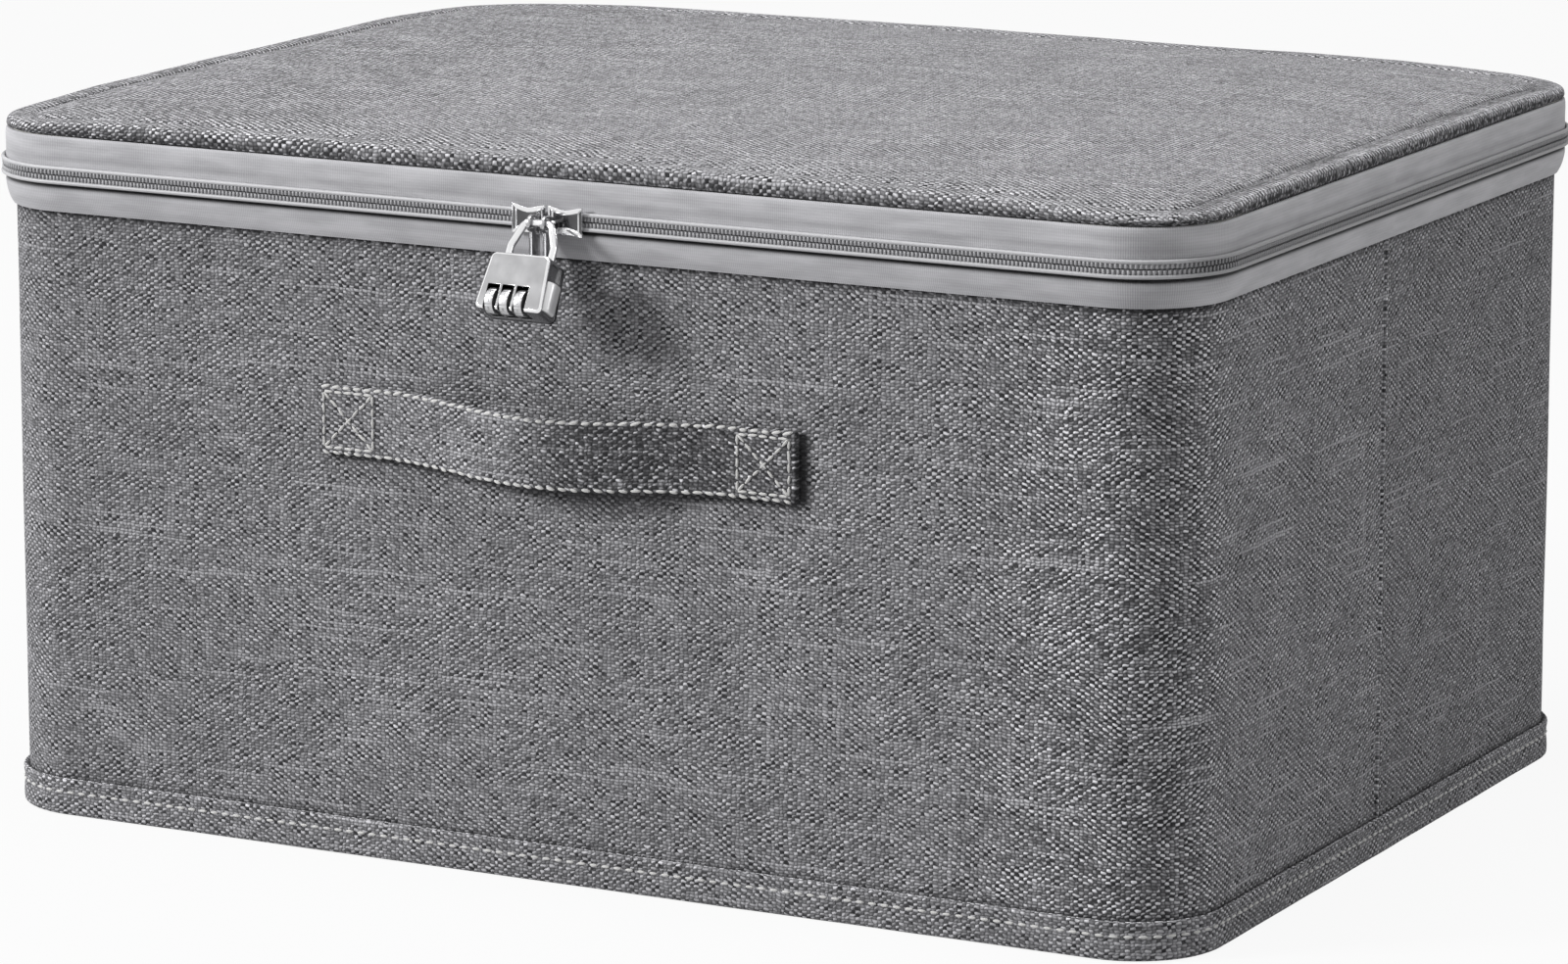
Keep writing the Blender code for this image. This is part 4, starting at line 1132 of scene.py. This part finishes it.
def cutFrom(bm, tools):  # takes each tool's shape out of a body
    holder = linked("cutBody", meshFrom("cutBody", bm))
    cutters = []
    for tool in tools:
        bmesh.ops.recalc_face_normals(tool, faces=tool.faces)
        cutters.append(linked("cutTool", meshFrom("cutTool", tool)))
        cut = holder.modifiers.new("cut", "BOOLEAN")
        cut.operation, cut.solver, cut.object = "DIFFERENCE", "EXACT", cutters[-1]
    made = bmesh.new()
    made.from_mesh(madeMesh(holder))
    for cutter in cutters:
        bpy.data.objects.remove(cutter)
    bmesh.ops.remove_doubles(made, verts=made.verts, dist=0.002 * mm)
    return made


def boxTool(low, high):
    bm = bmesh.new()
    block(bm, (Vector(low) + Vector(high)) / 2, Vector(high) - Vector(low))
    return bm


def rodTool(radius, length, middle, across=False, segments=32):
    bm = bmesh.new()
    turn = Matrix.Rotation(math.pi / 2, 4, "Y") if across else Matrix.Identity(4)
    bmesh.ops.create_cone(bm, cap_ends=True, segments=segments, radius1=radius, radius2=radius, depth=length,
                          matrix=Matrix.Translation(middle) @ turn)
    return bm


def makeLock():
    top, foot, front, gap = (lockLook[word] for word in ("top", "foot", "front", "gap"))
    beyond = lockLook["beyond"]
    inset = lockLook["dial"] - lockLook["dialProud"]
    dialY, dialZ = front + inset, foot + inset
    dialX = [lockLook["dialMargin"] - halfWide(dialZ) + lockLook["dialPitch"] * number for number in range(3)]
    half = lockLook["dialWide"] / 2 + gap
    deepY, deepZ = dialY + lockLook["dial"] + gap, dialZ + lockLook["dial"] + gap
    windows = [(x - half, x + half + lockLook["window"]) for x in dialX]
    tools = [boxTool((low, front - beyond, foot - beyond), (high, deepY, deepZ)) for low, high in windows]
    for side, leg in zip((-1, 1), lockLook["legs"]):
        low, high = top - leg - gap, top + beyond
        place = (side * lockLook["span"] / 2, 0, (low + high) / 2)
        tools.append(rodTool(lockLook["wire"] + gap, high - low, place))
    buttonZ = foot + lockLook["buttonUp"]
    wide, tall = (size / 2 + gap for size in lockLook["button"])
    sideX, centre = halfWide(buttonZ), lockLook["buttonMiddle"]
    tools.append(boxTool((sideX - 4.1 * mm, centre - wide, buttonZ - tall),
                         (sideX + beyond, centre + wide, buttonZ + tall)))
    sunk, reach = lockLook["recess"]
    recessX = halfWide(top - 4 * mm)
    tools.append(boxTool((recessX - sunk, -reach, buttonZ + tall + 0.9 * mm),
                         (recessX + beyond, reach, top - 1.6 * mm)))
    bm = cutFrom(lockBlock(front, lockLook["back"], lockLook["edge"]), tools)
    breakEdges(bm, sharpEdges(bm, 1.0), lockLook["brink"], clamp=True)
    near = 0.02 * mm
    for face in bm.faces:  # painted shade: the dials' windows take the dark plating inside
        spot = face.calc_center_median()
        beside = any(low - near < spot.x < high + near for low, high in windows)
        within = front + 0.3 * mm < spot.y < deepY + near and foot + 0.3 * mm < spot.z < deepZ + near
        if beside and within:
            face.material_index = 2
    bm.transform(lockPlace)
    addPiece("lockCase", bm, (satin, chromeAndRimHighlight, gunAndWindowShade), "padlock", ["lock_case"], 30, lockLook["broad"])
    back = -lockLook["back"] - gap
    bm = lockBlock(back - lockLook["cover"], back, lockLook["coverEdge"])
    bm.transform(lockPlace @ Matrix.Rotation(math.pi, 4, "Z"))
    addPiece("lockCover", bm, (satin, chromeAndRimHighlight), "padlock", ["lock_cover"], 30, lockLook["broad"])
    for number, x in enumerate(dialX):
        makeDial(number, lockPlace @ Matrix.Translation((x, dialY, dialZ)))
    makeButton(sideX, buttonZ)
    makeShackle()
    for node in ("lock_latch", "dial_spindle"):
        repaint(node, steel)
    print("padlock made")


def makeDial(number, place):
    bm = rodTool(lockLook["dial"], lockLook["dialWide"], (0, 0, 0), True, 120)
    for vert in bm.verts:  # ten finger notches between the numbers
        turn = math.atan2(vert.co.z, vert.co.y)
        dip = max(0, math.cos(10 * turn)) ** 6
        vert.co.yz = vert.co.yz * (1 - dip * lockLook["notch"] / lockLook["dial"])
    breakEdges(bm, sharpEdges(bm), 0.16 * mm)
    bm = cutFrom(bm, [rodTool(lockLook["bore"], 2 * lockLook["beyond"], (0, 0, 0), True)])
    bm.transform(place)
    name = "dial_%d" % (number + 1)
    addPiece("dialWheel%d" % (number + 1), bm, wheel, name, [name], 35)
    digits = bmesh.new()
    upright = Matrix.Rotation(math.pi / 2, 4, "X")
    for value in range(10):
        curve = bpy.data.curves.new("digit", "FONT")
        curve.body = str((value + 3 * number + 4) % 10)
        curve.size, curve.extrude = lockLook["digit"], 0.04 * mm
        curve.align_x, curve.align_y = "CENTER", "CENTER"
        mesh = madeMesh(linked("digit", curve))
        turn = Matrix.Rotation(math.tau * (value + 0.5) / 10, 4, "X")
        mesh.transform(place @ turn @ Matrix.Translation((0, 0.02 * mm - lockLook["dial"], 0)) @ upright)
        digits.from_mesh(mesh)
    bmesh.ops.remove_doubles(digits, verts=digits.verts, dist=0.001 * mm)
    addPiece("dialNumbers%d" % (number + 1), digits, enamel, name)


def makeButton(sideX, up):
    wide, tall = (size / 2 for size in lockLook["button"])
    centre = lockLook["buttonMiddle"]
    bm = boxTool((sideX - lockLook["buttonDeep"], centre - wide, up - tall),
                 (sideX + lockLook["buttonProud"], centre + wide, up + tall))
    outer = [edge for edge in bm.edges if all(vert.co.x > sideX for vert in edge.verts)]
    breakEdges(bm, edgesAlong(outer, 2, mm), lockLook["buttonRound"], 12)
    rim = [edge for edge in sharpEdges(bm) if max(vert.co.x for vert in edge.verts) > sideX]
    breakEdges(bm, rim, lockLook["buttonEdge"], 4)
    bm.transform(lockPlace)
    addPiece("releaseButton", bm, pearl, "button", ["release_button"], 35, lockLook["broad"])


def makeShackle():
    span, crown, top = lockLook["span"] / 2, lockLook["crown"] / 2, lockLook["top"]
    neck = top + lockLook["neck"]
    left, right = (top - leg for leg in lockLook["legs"])
    flat = [(-span, 0, left), (-span, 0, neck), (-crown, 0, 0), (crown, 0, 0), (span, 0, neck), (span, 0, right)]
    path = [lockPlace @ point for point in roundPath(flat, lockLook["bend"], 9)]
    tube("shackleBow", path, lockLook["wire"], chromeAndRimHighlight, "shackle", ["shackle"], 6)


def repaint(node, material):
    mesh = frame["nodes"][node].data
    mesh.materials.clear()
    mesh.materials.append(material)


def makeBoards():
    for node in ("base_board", "wall_board", "lid_board"):
        repaint(node, board)
    print("boards painted")


cameraLook = {
    "place": (0.9482, -1.8165, 0.5207), "right": (0.8856, 0.4644, 0.0), "up": (-0.0955, 0.1805, 0.9789),
    "back": (0.4545, -0.8670, 0.2042), "lens": 153.9, "shift": 0.0014,
}
lightLook = {
    "sky": 0.15, "aim": Vector((0, 0, 0.12)), "floorGlow": 0.92, "floorHalf": 6, "floorDrop": 0.02 * mm,
    "lamps": {  # place, size, power
        "key": ((-3.0, -2.7, 1.75), 0.9, 175), "overhead": ((-0.3, -0.5, 3.1), 1.6, 66),
        "fill": ((3.4, 1.0, 1.3), 2.4, 45),
    },
}


def makeStage():
    camera = bpy.data.cameras.new("camera")
    camera.lens, camera.sensor_width, camera.clip_end = cameraLook["lens"], 36, 50
    camera.shift_x = cameraLook["shift"]
    holder = linked("camera", camera)
    axes = Matrix([cameraLook[word] for word in ("right", "up", "back")]).transposed().to_4x4()
    holder.matrix_world = Matrix.Translation(cameraLook["place"]) @ axes
    bpy.context.scene.camera = holder
    for name, (place, size, power) in lightLook["lamps"].items():
        lamp = bpy.data.lights.new(name, "AREA")
        lamp.size, lamp.energy = size, power
        item = linked(name, lamp)
        item.location = place
        item.rotation_euler = (lightLook["aim"] - Vector(place)).to_track_quat("-Z", "Y").to_euler()
    bm = bmesh.new()
    bmesh.ops.create_grid(bm, x_segments=1, y_segments=1, size=lightLook["floorHalf"])
    floor = linked("floor", meshFrom("floor", bm))
    floor.location.z = -lightLook["floorDrop"]
    floor.data.materials.append(floorFinish())
    makeWorld()
    print("stage set")


def floorFinish():  # pale floor that keeps the shadow, lifted to white where the camera or metal looks at it
    pale = Finish("paleFloor", Base_Color=(0.50, 0.50, 0.505, 1), Roughness=0.9)
    glow = pale.node("ShaderNodeEmission", None, {"Color": (1, 1, 1, 1), "Strength": 1.0})
    lit = {0: lookedAt(pale) * lightLook["floorGlow"], 1: Tone(pale, pale.shader.outputs[0]), 2: glow}
    mixed = pale.node("ShaderNodeMixShader", None, lit)
    pale.feed(pale.tree.nodes["Material Output"].inputs["Surface"], mixed)
    return pale.material


def lookedAt(tree):
    names = ("Is Camera Ray", "Is Glossy Ray", "Is Transmission Ray")
    rays = [tree.node("ShaderNodeLightPath", None, None, name) for name in names]
    return rays[0].math("MAXIMUM", rays[1]).math("MAXIMUM", rays[2])


def makeWorld():
    world = bpy.data.worlds.new("studio")
    world.use_nodes = True
    bpy.context.scene.world = world
    sky = Tree(world.node_tree)
    background = world.node_tree.nodes["Background"]
    background.inputs["Color"].default_value = (1, 1, 1, 1)
    sky.feed(background.inputs["Strength"], lookedAt(sky) * (1 - lightLook["sky"]) + lightLook["sky"])


makeWalls()
makeBase()
makeInside()
makeTapes()
makeChain()
makeHinge()
makeLid()
makeHandle()
makeSliders()
makeLock()
makeBoards()
makeStage()
bpy.context.scene.view_settings.view_transform = "Standard"
